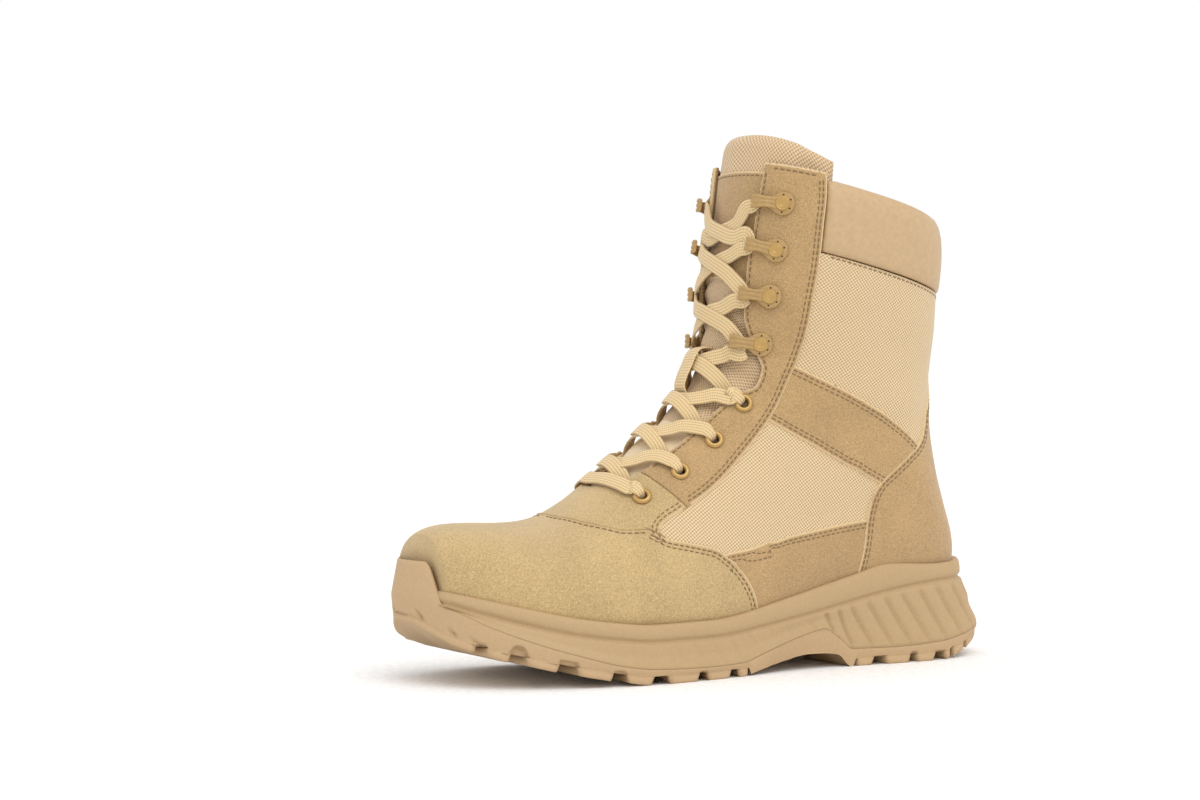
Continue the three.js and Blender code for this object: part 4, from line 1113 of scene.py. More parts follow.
def flute_depth(ring, low, high):
    """Slanting grooves pressed into the midsole's side, and none near the toe."""
    x, z = ring[:, 0], ring[:, 2]
    phase = (x - FLUTE_LEAN * (z - low)) / FLUTE_PITCH
    gap = np.abs(phase - np.round(phase)) * FLUTE_PITCH
    share = (z - low) / np.maximum(high - low, 1)
    fade = smooth(share / 0.12) * smooth((1 - share) / 0.14)
    where = smooth((112 - x) / 14) + 0.35 * smooth((x - 120) / 20) * smooth((205 - x) / 30)
    return 1.5 * np.exp(-((gap / 1.25) ** 2)) * fade * where


# the share of the midsole's side, from its joint to its groove, below which it curves inwards
WAIST = 0.62


def build_midsole(material):
    joint, groove, rim, tuck = (sole_curves[name] for name in ("joint", "groove", "rim", "tuck"))
    deck, bed = sole_curves["deck"], sole_curves["bed"]
    wrap = WRAP * RING_BUMPER
    tucks = np.minimum(tuck(RING_AT[:, 0]), np.maximum(room_beside_upper(rim) - 1.9, 0.6))

    def at(inset, height):
        return level_ring(wrap + inset, height)

    rings = [at(7.0, deck), at(4.0, deck), at(0.6, lambda x: joint(x) - 0.05)]
    for share in np.linspace(0.0, 1.0, 15):
        if share < WAIST:
            inset = tucks * 0.45 * smooth(share / WAIST)
        else:
            inset = tucks * 0.45 + (tucks * 0.55 - 1.5) * ((share - WAIST) / 0.38)
        plain = at(inset, lambda x, s=share: joint(x) + 0.2 + (groove(x) - 1.6 - joint(x)) * s)
        low = joint(plain[:, 0])
        press = flute_depth(plain, low, groove(plain[:, 0]) - 1.2)
        rings.append(plain - np.column_stack([RING_OUT * press[:, None], np.zeros(len(plain))]))

    def halfway(x):
        return groove(x) + 0.5 * (rim(x) - groove(x))

    for inset, curve, rise in (
        (-0.7, groove, -0.9), (0.25, groove, -0.2), (0.3, groove, 0.3), (-0.5, groove, 1.2),
        (-0.95, groove, 2.0), (-0.85, halfway, 0), (-0.55, rim, -2.4), (-0.1, rim, -1.1),
        (0.7, rim, -0.25), (1.6, rim, 0),
    ):
        rings.append(at(tucks + inset, lambda x, curve=curve, rise=rise: curve(x) + rise))
    top = at(tucks + 2.4, lambda x: rim(x) - 0.1)
    touch = against_upper(top, 0.9)
    touch[:, 2] = rim(touch[:, 0]) - 0.6
    low_touch = touch.copy()
    low_touch[:, 2] = bed(low_touch[:, 0]) + 1.5
    low_touch = against_upper(low_touch, 1.2)
    rings += [top, touch, low_touch]
    floor = low_touch.copy()
    floor[:, 2] = bed(floor[:, 0])
    rings.append(floor)
    verts, faces = ringed_solid(rings, (lambda x, s: float(deck(x)), 8), (lambda x, s: float(bed(x)), 12))
    return make("midsole_foam", verts, faces, material, "foam", nodes=("midsole",))


def knurl(ring):
    """How far a fine cross-hatch presses in or out on the arch's side."""
    x, z = ring[:, 0], ring[:, 2]
    along = distances(ring[:, :2])
    pattern = np.cos((along + z * 1.2) * 2 * math.pi / 3.2) * np.cos((along - z * 1.2) * 2 * math.pi / 3.2)
    return 0.3 * pattern * smooth((x - 86) / 6) * smooth((140 - x) / 8)


def base_floor(x):
    """The underside of the outsole's base: level with the blocks' feet under the arch, and above them
    where there are blocks."""
    blocks = 1 - smooth((x - 79.2) / 2) * smooth((147.5 - x) / 2)
    return sole_curves["tread"](x) + (TREAD_DEPTH - 0.3) * blocks


def notch_press(ring):
    """How far the notches between the blocks are cut into the base's side."""
    x, z = ring[:, 0], ring[:, 2]
    height = z - sole_curves["tread"](x)
    press = np.zeros(len(ring))
    for middle, width, _, tall, arched in NOTCHES:
        share = np.clip(height / tall, 0, 1)
        half = width / 2 * (np.sqrt(1 - share**2) if arched else 1 - 0.3 * share)
        side = smooth((half - np.abs(x - middle)) / 0.9 + 0.4)
        press = np.maximum(press, NOTCH_DEPTH * side * smooth((tall - height) / 0.8))
    return press


# slits under the toe bumper: how far round from the toe's tip, and how high they reach
TOE_SLITS = ((4.0, 40.0), (17.0, 37.0), (30.0, 29.0), (38.0, 25.0))


def build_outsole(material):
    joint, deck = sole_curves["joint"], sole_curves["deck"]

    def blend(low, high):
        return low + (high - low) * RING_BUMPER

    rings = []
    for share in np.linspace(0, 1, 16):
        ring = level_ring((1 - share) ** 1.6, base_floor)
        x, foot = ring[:, 0], ring[:, 2].copy()
        ring[:, 2] = foot + (np.maximum(blend(joint(x) - 0.3, BUMPER_BULGE), foot + 0.4) - foot) * share
        press = knurl(ring) + notch_press(ring)
        slit = np.zeros(len(ring))
        for mark, highest in TOE_SLITS:
            lean = RING_FROM_TOE - mark + (ring[:, 2] - 28) * 0.9
            shown = smooth((highest - ring[:, 2]) / 4) * smooth((share - 0.02) * 9)
            slit += 1.9 * np.exp(-((lean / 1.3) ** 2)) * shown
        ring[:, :2] -= RING_OUT * (press + slit)[:, None]
        rings.append(ring)
    for share in (0.25, 0.5, 0.75, 0.93, 1.0):
        ring = level_ring(RING_BUMPER * BUMPER_LEAN * share + (0.6 if share == 1.0 else 0), np.zeros_like)
        bulge = blend(joint(ring[:, 0]) - 0.3, BUMPER_BULGE)
        full = blend(joint(ring[:, 0]), BUMPER_TOP)
        ring[:, 2] = bulge + (full - bulge) * share
        rings.append(ring)
    rings += [
        level_ring(blend(2.2, BUMPER_LEAN + 1.8), lambda x: blend(joint(x) - 0.1, BUMPER_TOP - 0.6)),
        level_ring(blend(4.2, BUMPER_LEAN + 2.6), lambda x: blend(deck(x), 45)),
        level_ring(blend(6.5, WRAP + 0.2), deck),
    ]
    base = ringed_solid(rings, (lambda x, s: float(base_floor(x)), 8), (lambda x, s: float(deck(x)), 8))
    verts, faces = join_shapes([base, comb(-14, 80), comb(146.5, 302)])
    return make("outsole_rubber", verts, faces, material, "rubber", nodes=("outsole",))


def narrowed(loop, share):
    """The blocks' outline with each notch closed to a share of its width."""
    x, y = loop[:, 0].copy(), np.abs(loop[:, 1])
    for middle, width, sweep, _, _ in NOTCHES:
        reach = 40.0
        centre = middle + sweep * (reach - np.clip(y, NOTCH_REACH, reach)) / reach
        from_middle = (loop[:, 0] - centre) / (width / 2)
        pull = np.clip(1 - np.clip(np.abs(from_middle) - 1.1, 0, None) / 0.7, 0, 1)
        x -= (loop[:, 0] - centre) * (1 - share) * pull
    return np.column_stack([x, loop[:, 1]])


def comb(first_x, last_x):
    """The tread blocks between two places as one solid: a rib down the middle with notched blocks each
    side, standing on the outsole's base."""
    tread = sole_curves["tread"]
    edge = level_ring(1.0, np.zeros_like)[:, :2]
    half = len(edge) // 2
    sides = []
    for line, sign in ((edge[1:half], 1), (edge[:half:-1], -1)):
        line = line[(line[:, 0] > first_x) & (line[:, 0] < last_x)]
        line = line[np.argsort(line[:, 0], kind="stable")]
        walk = [(first_x, sign * NOTCH_REACH)]
        notches = [n for n in NOTCHES if first_x < n[0] - n[1] / 2 and n[0] + n[1] / 2 < last_x]
        x_now = first_x
        for x, width, sweep, _, _ in notches:
            reach = abs(float(np.interp(x, line[:, 0], line[:, 1])))
            lean = sweep * (reach - NOTCH_REACH) / 40
            low_x, high_x = x - width / 2, x + width / 2
            walk += map(tuple, line[(line[:, 0] > x_now + 1.5) & (line[:, 0] < low_x - 1.5)][::3])
            low_y, high_y = np.interp((low_x, high_x), line[:, 0], line[:, 1])
            walk += [(low_x, low_y), (low_x + lean, sign * NOTCH_REACH),
                     (high_x + lean, sign * NOTCH_REACH), (high_x, high_y)]
            x_now = high_x
        walk += map(tuple, line[line[:, 0] > x_now + 1.5][::3])
        if abs(line[-1][1]) > NOTCH_REACH:
            walk.append((last_x, sign * NOTCH_REACH))
        sides.append(walk)
    loop = np.array(sides[0][::-1] + sides[1])
    loop = thin_out(loop, 0.3)
    fine = []
    for a, b in zip(loop, np.roll(loop, -1, axis=0)):
        count = max(1, int(np.linalg.norm(b - a) / 2.5))
        fine += [a + (b - a) * k / count for k in range(count)]
    loop = np.array(fine)
    along = unit(np.roll(loop, -1, axis=0) - np.roll(loop, 1, axis=0))
    out = np.stack([along[:, 1], -along[:, 0]], -1)
    signed = 0.5 * np.sum(loop[:, 0] * np.roll(loop[:, 1], -1) - loop[:, 1] * np.roll(loop[:, 0], -1))
    if signed < 0:
        out = -out
    z = tread(loop[:, 0])
    rings = [
        np.column_stack([loop - out * 0.75, z]),
        np.column_stack([loop - out * 0.25, z + 0.25]),
        np.column_stack([loop, z + 0.9]),
        np.column_stack([narrowed(loop, 0.72) + out * 0.08, z + TREAD_DEPTH + 0.2]),
    ]
    verts, faces = loft(rings, closed_ends=False, flip_faces=signed < 0)
    count = len(loop)
    for ring, turned in ((0, signed > 0), (3, signed < 0)):
        edges = [(i, (i + 1) % count) for i in range(count)]
        spots = [Vector(p) for p in rings[ring][:, :2]]
        _, _, flat, origins, _, _ = delaunay_2d_cdt(spots, edges, [], 1, 1e-5)
        for face in flat:
            polygon = tuple(origins[v][0] + ring * count for v in face)
            faces.append(polygon[::-1] if turned else polygon)
    return verts, faces


def insole_spot(rows, lift, offset):
    """Where the inner wall stands over the footbed, raised by lift, on the outer and the inner side."""
    def at(turn):
        return last_point(rows, turn) + last_normal(rows, turn) * offset

    def above(turn):
        point = at(turn)
        return point[:, 2] > sole_bed(point[:, 0]) + lift

    outer, _ = halved(len(rows), 0.2, 0.5, above)
    inner, _ = halved(len(rows), 0.5, 0.8, lambda turn: ~above(turn))
    return at(outer), at(inner)


def build_insole(material):
    rings = []
    rows = np.linspace(2.6, 13.2, 110)
    for lift, offset in ((0.4, -3.3), (1.6, -3.1), (3.6, -3.1), (4.2, -3.6)):
        outer, inner = insole_spot(rows, lift, offset)
        back = (outer[-1] + inner[-1]) / 2 + (-3.0, 0, 0)
        nose = (outer[0] + inner[0]) / 2 + (2.0, 0, 0)
        rings.append(np.vstack([back, outer[::-1], nose, inner])[::-1])

    def dished(x, share):
        return float(sole_bed(x)) + 4.2 - 0.9 * math.sin(math.pi * share) ** 2

    verts, faces = ringed_solid(rings, (lambda x, s: float(sole_bed(x)) + 0.4, 6), (dished, 14))
    return make("insole_foam", verts, faces, material, "insole", nodes=("insole",))


# ------ collar and tongue
# The pad's section: how far up the collar, and how far out of the last's surface.
COLLAR_PAD = (
    (0.012, -0.9), (0.03, 0.0), (0.08, 0.6), (0.18, 1.1), (0.37, 1.5), (0.54, 1.45), (0.69, 1.1),
    (0.81, 0.1), (0.89, -1.5), (0.92, -3.2), (0.89, -5.4), (0.81, -7.2), (0.66, -8.3), (0.46, -8.5),
    (0.28, -7.9), (0.13, -6.5), (0.05, -5.0), (0.012, -4.0),
)


def side_turn(row, places):
    """The turn, at some rows, of a line through places seen from the side."""
    spots = np.array([locate("side", *place) for place in places])
    order = np.argsort(spots[:, 0])
    return np.interp(row, spots[order, 0], spots[order, 1])


def facing_front_turn(row):
    """The turn of the facings' rear edge at rows of the collar, on the outer side."""
    return side_turn(row, curve_through([(102.9, 201), (101.2, 214), (99.5, 229), (99.2, 246)], 1.0)[::6])


def zip_turn(row, side):
    """The turn of the zip slit's edge at rows of the collar, on the inner side."""
    edge = ZIP_ACROSS * (ZIP_HALF + 0.35) * side
    return 1 - side_turn(row, [ZIP_TOP + ZIP_ALONG * down + edge for down in np.linspace(-3, 62, 14)])


def collar(name, first, last, steps, material):
    """A rounded pad between two turns, which may change with the row."""
    rings = []
    shares = np.array([share for share, _ in COLLAR_PAD])
    outs = np.array([out for _, out in COLLAR_PAD])
    rows = COLLAR_BASE + (COLLAR_TOP - COLLAR_BASE) * shares
    begin, end = first(rows), last(rows)
    length = float(np.mean(np.abs(end - begin))) * CHART_ROUND
    for t in np.linspace(0, 1, steps):
        near = min(t, 1 - t) * length
        full = math.sqrt(max(0.0, 1 - max(0.0, 1 - near / 4.5) ** 2))
        turn = begin + (end - begin) * t
        out = -3.4 + (outs + 3.4) * (0.35 + 0.65 * full)
        top = COLLAR_BASE + (rows - COLLAR_BASE) * (1 - 0.04 * (1 - full))
        point = last_point(top, turn)
        normal = last_normal(top, turn)
        wave = 0.4 * np.sin(turn * 40 + shares * 3.4) * np.sin(shares * math.pi) * (outs > -3)
        ripple = 0.16 * np.sin(turn * 117 + shares * 7.0) * np.sin(shares * math.pi) * (outs > -3)
        rings.append(point + normal * (out + wave + ripple)[:, None])
    return make(name, *loft(rings, flip_faces=True), material, "smooth_leather", fill=0.75)


def build_collars(material):
    front = facing_front_turn
    back = collar("collar_back_pad", lambda r: front(r) + 0.0012, lambda r: zip_turn(r, -1), 190, material)
    inner = collar("collar_inner_pad", lambda r: zip_turn(r, 1), lambda r: 1 - front(r) - 0.0012, 60,
                   material)
    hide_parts("collar_back")
    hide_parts("collar_inner")


TONGUE_FOOT = 8.0
TONGUE_LENGTH = 190.0
SATIN_END = 0.125
PATCH_ROWS = (16.3, 20.74)
PATCH_HALF = 23.5
WING_TUCK = 6.4


def tongue_point(along, w, side, lift=0.0):
    """A point of the tongue: along from its foot to its top, w across, side 1 on its face and -1 on its
    back."""
    top = COLLAR_TOP + 0.76 - 0.36 * w * w
    row = TONGUE_FOOT + (top - TONGUE_FOOT) * (1 - (1 - along) ** 1.6)
    turn = w * (0.085 + 0.115 * smooth((row - TONGUE_FOOT) / 5))
    pad = smooth((row - 18.4) / 2)
    wing = smooth((np.abs(turn) - 0.12) / 0.03) * smooth((row - 17.4) / 1.2)
    crown = np.sqrt(np.clip(1 - np.abs(w) ** 6, 0, 1))
    roof = np.sqrt(np.clip(1 - np.clip((row - top) / 0.35 + 1, 0, None) ** 2, 0, 1))
    outer = -WALL - 1 - WING_TUCK * wing
    thick = 2.6 + (5.9 - 3 * wing) * pad
    half = thick / 2 * np.clip(crown * roof, 0.16, None)
    # the gusset puffs up between the lace's crossings
    puff = 1.1 * np.sin(row * 5.2 + 0.8) * smooth((row - 9) / 1.0) * smooth((17.5 - row) / 1.0)
    puff = puff * np.exp(-((np.abs(w) - 0.42) / 0.25) ** 2) * (side > 0)
    soft = 0.25 * np.sin(w * 9 + row * 1.7) * np.sin(row * 3.1 + 0.5) * pad
    offset = outer - thick / 2 + side * half + puff + soft * (side > 0) + lift
    return last_point(row, turn) + last_normal(row, turn) * np.asarray(offset)[..., None]


def build_tongue(cloth, satin, suede, thread):
    """The padded tongue: satin gusset low down, woven cloth above, and a suede patch sewn on its front."""
    rings, flat = [], []
    across = np.linspace(1, -1, 41)
    rows = np.linspace(0, 1, 150)
    for along in rows:
        face = tongue_point(np.full(41, along), across, 1.0)
        rear = tongue_point(np.full(41, along), across[::-1], -1.0)
        rings.append(np.vstack([face, rear]))
        side = np.concatenate([across, across[::-1]]) * 50
        flat.append(np.column_stack([side, np.full(82, TONGUE_LENGTH * (1 - (1 - along) ** 1.6))]))
    piece = make("tongue_pad", *loft(rings), cloth, "knit", nodes=("tongue",), fill=0.7)
    flat = np.vstack(flat)
    set_uv(piece, np.vstack([flat, flat[:1], flat[-1:]]))
    piece.data.materials.append(satin)
    satin_end = int(np.searchsorted(rows, SATIN_END)) * 82
    for polygon in piece.data.polygons:
        if max(polygon.vertices) < satin_end:
            polygon.material_index = 1
    half = PATCH_HALF / CHART_ROUND
    low, top = PATCH_ROWS
    edge = [(low, half), (top - 0.12, half), (top, half - 0.012), (top + 0.03, 0), (top, 0.012 - half),
            (top - 0.12, -half), (low, -half)]
    loop = np.vstack([curve_through([to_chart(*spot) for spot in edge[1:-1]], 1.2),
                      row_line(low, -half, half, 24)])
    # the patch takes the side suede, the copy darkened with painted shade
    panel("patch", loop, suede, -2.95, 0.7, base=-4.1)
    seam = from_chart(row_line(top - 0.09, half - 0.008, 0.008 - half, 60))
    shapes = stitches_along(surface(*seam, -2.98), last_normal(*seam), stitch_template())
    make("patch_stitches", *join_shapes(shapes), thread, "webbing")


# ------ metal fittings
def stand_basis(row, turn):
    """Rows: towards the side away from the throat, up the throat, and out of the surface."""
    out = last_normal(row, turn)
    up = last_point(row + 0.05, turn) - last_point(row - 0.05, turn)
    y = up - out * np.dot(up, out)
    y /= np.linalg.norm(y)
    x = np.cross(y, out)
    if x[1] * (1 if turn > 0 else -1) < 0:
        x, y = -x, -y
    return np.array([x, y, out]), last_point(row, turn)


EYELET_PROFILE = (
    (2.4, -2.6), (2.4, 0.5), (2.6, 1.05), (3.05, 1.4), (3.6, 1.4), (4.2, 1.05), (4.6, 0.5), (4.7, 0.0),
    (3.1, 0.0), (3.1, -2.6),
)
RIVET_PROFILE = ((0, 2.1), (1.3, 2.1), (1.5, 2.25), (2.2, 2.25), (2.4, 2.1), (2.7, 2.35), (3.2, 2.4),
                 (3.5, 2.15), (3.6, 1.5), (3.6, 0.2), (0, 0.2))


def teardrop(count=48):
    """The hook plate's outline: round under the rivet, narrowing towards the arm."""
    radius = size("plate_width") / 2
    outline = []
    for angle in np.linspace(0, 2 * math.pi, count, endpoint=False):
        x, y = radius * math.cos(angle), radius * math.sin(angle)
        if x < 0:
            y *= 1 - 0.45 * smooth(-x / radius)
            x *= 1.6
        outline.append((x, y))
    return np.array(outline)


def plate_shape(outline, low, high, chamfer=0.45):
    """A flat plate with a rounded upper edge."""
    centre = outline.mean(axis=0)

    def scaled(inset, height):
        away = outline - centre
        length = np.linalg.norm(away, axis=1, keepdims=True)
        return np.column_stack([centre + away * (1 - inset / length), np.full(len(outline), height)])

    rings = [scaled(0.3, low), scaled(0, low + 0.25), scaled(0, high - chamfer),
             scaled(chamfer * 0.35, high - chamfer * 0.3), scaled(chamfer, high)]
    return loft(rings)


def hook_shapes():
    """Plate, rivet and arm of one lace hook; +Z stands out of the surface and -X reaches for the lace."""
    plate = plate_shape(teardrop(), 0.0, 1.5)
    rivet = revolve(RIVET_PROFILE, 28)
    spine = [(1.2, 0.9), (-1.5, 1.0), (-4.2, 1.9), (-6.6, 3.2), (-9.4, 3.85), (-12.0, 3.75), (-13.8, 3.1),
             (-14.9, 1.9), (-15.1, 0.6)]
    dense = curve_through(spine, 0.45)
    rings = []
    for i, (x, z) in enumerate(dense):
        ahead = dense[min(i + 1, len(dense) - 1)]
        behind = dense[max(i - 1, 0)]
        along = (ahead - behind) / np.linalg.norm(ahead - behind)
        nx, nz = (along[1], -along[0]) if along[0] < 0 else (-along[1], along[0])
        if nz < 0 and along[0] < -0.2:
            nx, nz = -nx, -nz
        reach = -x
        half_width = 3.3 - 0.65 * smooth((reach - 2) / 5) + 0.7 * smooth((reach - 8.5) / 4)
        end = min(1.0, (len(dense) - 1 - i) / 4 + 0.35)
        width = half_width * min(1.0, end + 0.35)
        ring = []
        for k in range(15):
            u = -1 + k / 7
            groove = 0.5 * (math.exp(-((abs(u) - 0.36) / 0.13) ** 2)) * smooth((reach - 2.5) / 2)
            crown = (0.62 - groove) * (1 - 0.55 * abs(u) ** 6) * end
            ring.append((x + nx * crown, u * width, z + nz * crown))
        for k in range(15):
            ring.append((x - nx * 0.5 * end, (1 - k / 7) * width, z - nz * 0.5 * end))
        rings.append(ring)
    return plate, rivet, loft(rings)


def pin_holes():
    """Small discs in a circle round the rivet, dark with painted shade for the dimples' hollows."""
    shapes = []
    for k in range(6):
        angle = k * math.pi / 3 + math.pi / 6
        disc = revolve(((0, 1.56), (0.42, 1.55), (0.46, 1.45), (0, 1.3)), 10)
        shapes.append(placed(disc, np.eye(3), (4.3 * math.cos(angle), 4.3 * math.sin(angle), 0)))
    return shapes


def fit(name, shapes, row, turn, material, nodes=()):
    """Shapes set on the surface as one metal piece."""
    basis, origin = stand_basis(row, turn)
    at = origin + basis[2] * 0.4
    shapes = [oriented(placed(shape, basis, at), basis) for shape in shapes]
    make(name, *join_shapes(shapes), material, "coated_metal", nodes=nodes)


def build_hardware(metal, rivet_metal, dark):
    ring = revolve(EYELET_PROFILE, 36)
    plate, rivet, arm = hook_shapes()
    spots = eyelet_spots()
    for side, sign in SIDES:
        for i, (row, turn) in enumerate(spots[:len(EYELETS)], 1):
            fit(f"eyelet_{side}_{i}_ring", [ring], row, sign * turn, rivet_metal, (f"eyelet_{side}_{i}",))
        for i, (row, turn) in enumerate(spots[len(EYELETS):], 1):
            fit(f"hook_{side}_{i}_plate", [plate, arm], row, sign * turn, metal, (f"hook_{side}_{i}",))
            fit(f"hook_{side}_{i}_rivet", [rivet], row, sign * turn, rivet_metal)
            # the dimples are dark discs of painted shade, not real holes
            fit(f"hook_{side}_{i}_dimples", pin_holes(), row, sign * turn, dark)


def oriented(shape, basis):
    """Turns the faces round where the basis mirrors them."""
    points, faces = shape
    if np.linalg.det(basis) < 0:
        faces = [face[::-1] for face in faces]
    return points, faces


# ------ lace, keeper and zip
def rows_in(row, distance):
    return distance / (10 * float(np.linalg.norm(last_point(row + 0.05, 0) - last_point(row - 0.05, 0))))


HOOK_REACH = 21.5
HOOK_TIP = 15.5


def hook_tip_row(row, turn):
    """The section row that a hook's tip is beside."""
    basis, origin = stand_basis(row, turn)
    return float(_grid_rows[grid_spot(origin - basis[0] * HOOK_TIP)])


# stops of a strand: share of the way up to the next row, share of the throat's half width, and lift
UNDER_FACING = ((-0.06, 1.05, -4.6), (-0.01, 0.86, -3.2), (0.06, 0.64, -0.9))
OVER_TONGUE = ((0.13, 0.34, 0.5), (0.19, 0.0, 0.9), (0.28, -0.38, 0.6), (0.5, -0.64, 0.5))
UP_TO_EYELET = ((0.7, -0.8, 1.1), (0.86, -1.0, 2.0))
OVER_TO_HOOK = ((0.13, 0.34, 0.5), (0.2, 0.0, 0.9), (0.36, -0.3, 0.7), (0.58, -0.54, 0.6))
BETWEEN_HOOKS = ((0.25, 0.52, 0.5), (0.4, 0.0, 0.9), (0.56, -0.5, 0.6))
KEEPER_ROWS = (11.4, 12.95)
KEEPER_STOPS = ((-0.04, -4.5), (-0.02, -1.5), (0.04, 1.2), (0.2, 3.0), (0.5, 3.6), (0.8, 3.1), (0.96, 1.2),
                (1.02, -1.5), (1.04, -4.5))


def build_lace(lace):
    """Each crossing's two strands, from under the facing or round one hook to the next."""
    spots = eyelet_spots()
    low_hook = len(EYELETS)
    tips = [hook_tip_row(row, turn) for row, turn in spots[low_hook:]]
    nodes = ["lace_bar"] + [f"lace_cross_{i}" for i in range(1, 8)]

    def lay(name, stops, node):
        points, ups, widths = zip(*stops)
        verts, faces, flat = ribbon(points, ups, widths, size("lace_thickness"), step=0.8)
        piece = make(name, verts, faces, lace, "webbing", nodes=(node,) if node else ())
        set_uv(piece, flat)

    def stop(row, turn, lift, width=1.0):
        normal = last_normal(row, turn)
        return last_point(row, turn) + normal * lift, normal, width * size("lace_width")

    def across(row, millimetres, lift, width=1.0):
        return stop(row, float(turn_at(row, millimetres)), lift, width)

    def into_eyelet(row, turn):
        """Over the eyelet's ring, gathered, and down its hole."""
        return [stop(row - 0.03, turn * 0.84, 2.5, 0.95), stop(row - 0.01, turn * 0.92, 2.5, 0.72),
                stop(row, turn * 0.97, 1.0, 0.56), stop(row, turn * 0.99, -2.4, 0.5)]

    row, turn = spots[0]
    bar = []
    for share in (0.8, 0.62, 0.3, 0, -0.3, -0.62, -0.8):
        bar.append(stop(row - 0.3 * (1 - abs(share)) ** 0.7, turn * share, 1.9 - 0.5 * (1 - abs(share))))
    ends = into_eyelet(row, turn), into_eyelet(row, -turn)
    lay("lace_bottom", [*ends[0][::-1], *bar, *ends[1]], nodes[0])

    for i in range(len(spots) - 1):
        from_hook, to_hook = i >= low_hook, i + 1 >= low_hook
        low = tips[i - low_hook] if from_hook else spots[i][0] + 0.03
        high = tips[i + 1 - low_hook] if to_hook else spots[i + 1][0]
        gap = high - low
        low_half, high_half = float(throat_half(low)), float(throat_half(high))
        for sign, raised in ((1, 1.0), (-1, -0.3)):
            stops = []
            if from_hook:
                stops += [across(low + rows_in(low, 0.4), (HOOK_REACH + 0.5) * sign, 1.5, 0.7),
                          across(low + rows_in(low, 2.8), (HOOK_REACH - 3) * sign, 1.7)]
            else:
                for share, reach, lift in UNDER_FACING:
                    stops.append(across(low + gap * share, low_half * reach * sign, lift))
            middle = BETWEEN_HOOKS if from_hook else OVER_TO_HOOK if to_hook else OVER_TONGUE
            for share, reach, lift in middle:
                half = low_half if reach > 0 else high_half
                stops.append(across(low + gap * share, half * reach * sign, lift + raised))
            if to_hook:
                stops += [across(high - rows_in(high, 4.4), -(HOOK_REACH - 4.5) * sign, 1.7),
                          across(high - rows_in(high, 3), -(HOOK_REACH - 1) * sign, 1.6, 0.85),
                          across(high - rows_in(high, 0.6), -(HOOK_REACH + 0.8) * sign, 1.5, 0.7)]
            else:
                for share, reach, lift in UP_TO_EYELET:
                    stops.append(across(low + gap * share, high_half * reach * sign, lift))
                stops += into_eyelet(spots[i + 1][0], -sign * spots[i + 1][1])
            name = f"lace_{i + 1}_{'outer' if sign > 0 else 'inner'}"
            lay(name, stops, nodes[i + 1] if sign > 0 else None)


def build_keeper(webbing):
    """A webbing loop sewn upright on the tongue, with the laces drawn through it."""
    low, high = KEEPER_ROWS
    turn = float(turn_at(low, -2.0))
    rows = [low + (high - low) * share for share, _ in KEEPER_STOPS]
    normals = [last_normal(row, turn) for row in rows]
    points = [last_point(row, turn) + normal * stop[1]
              for row, normal, stop in zip(rows, normals, KEEPER_STOPS)]
    verts, faces, flat = ribbon(points, normals, size("keeper_width"), 1.3, step=0.6)
    piece = make("keeper_loop", verts, faces, webbing, "webbing", nodes=("lace_keeper",))
    set_uv(piece, flat[:, ::-1])


# a point beside the closed slider, mirrored to the outer side
SLIDER_NEAR = (54.7, 45, 216.0)


def zip_frame():
    """The slider's place on the zip: rows across, up the zip and out, and its point."""
    i = grid_spot(SLIDER_NEAR)
    row, turn = float(_grid_rows[i]), -float(_grid_turns[i])
    out = last_normal(row, turn)
    y = np.array((ZIP_TOP[0] - ZIP_LOW[0], 0, ZIP_TOP[1] - ZIP_LOW[1]))
    y = y - out * np.dot(y, out)
    y /= np.linalg.norm(y)
    return np.array([np.cross(y, out), y, out]), last_point(row, turn)


def zip_mid(distance, offset):
    """A spot on the zip's middle, a distance down from its top, with its outward direction."""
    row, turn = locate("side", *(ZIP_TOP + ZIP_ALONG * distance))
    normal = last_normal(row, -turn)
    return last_point(row, -turn) + normal * offset, normal


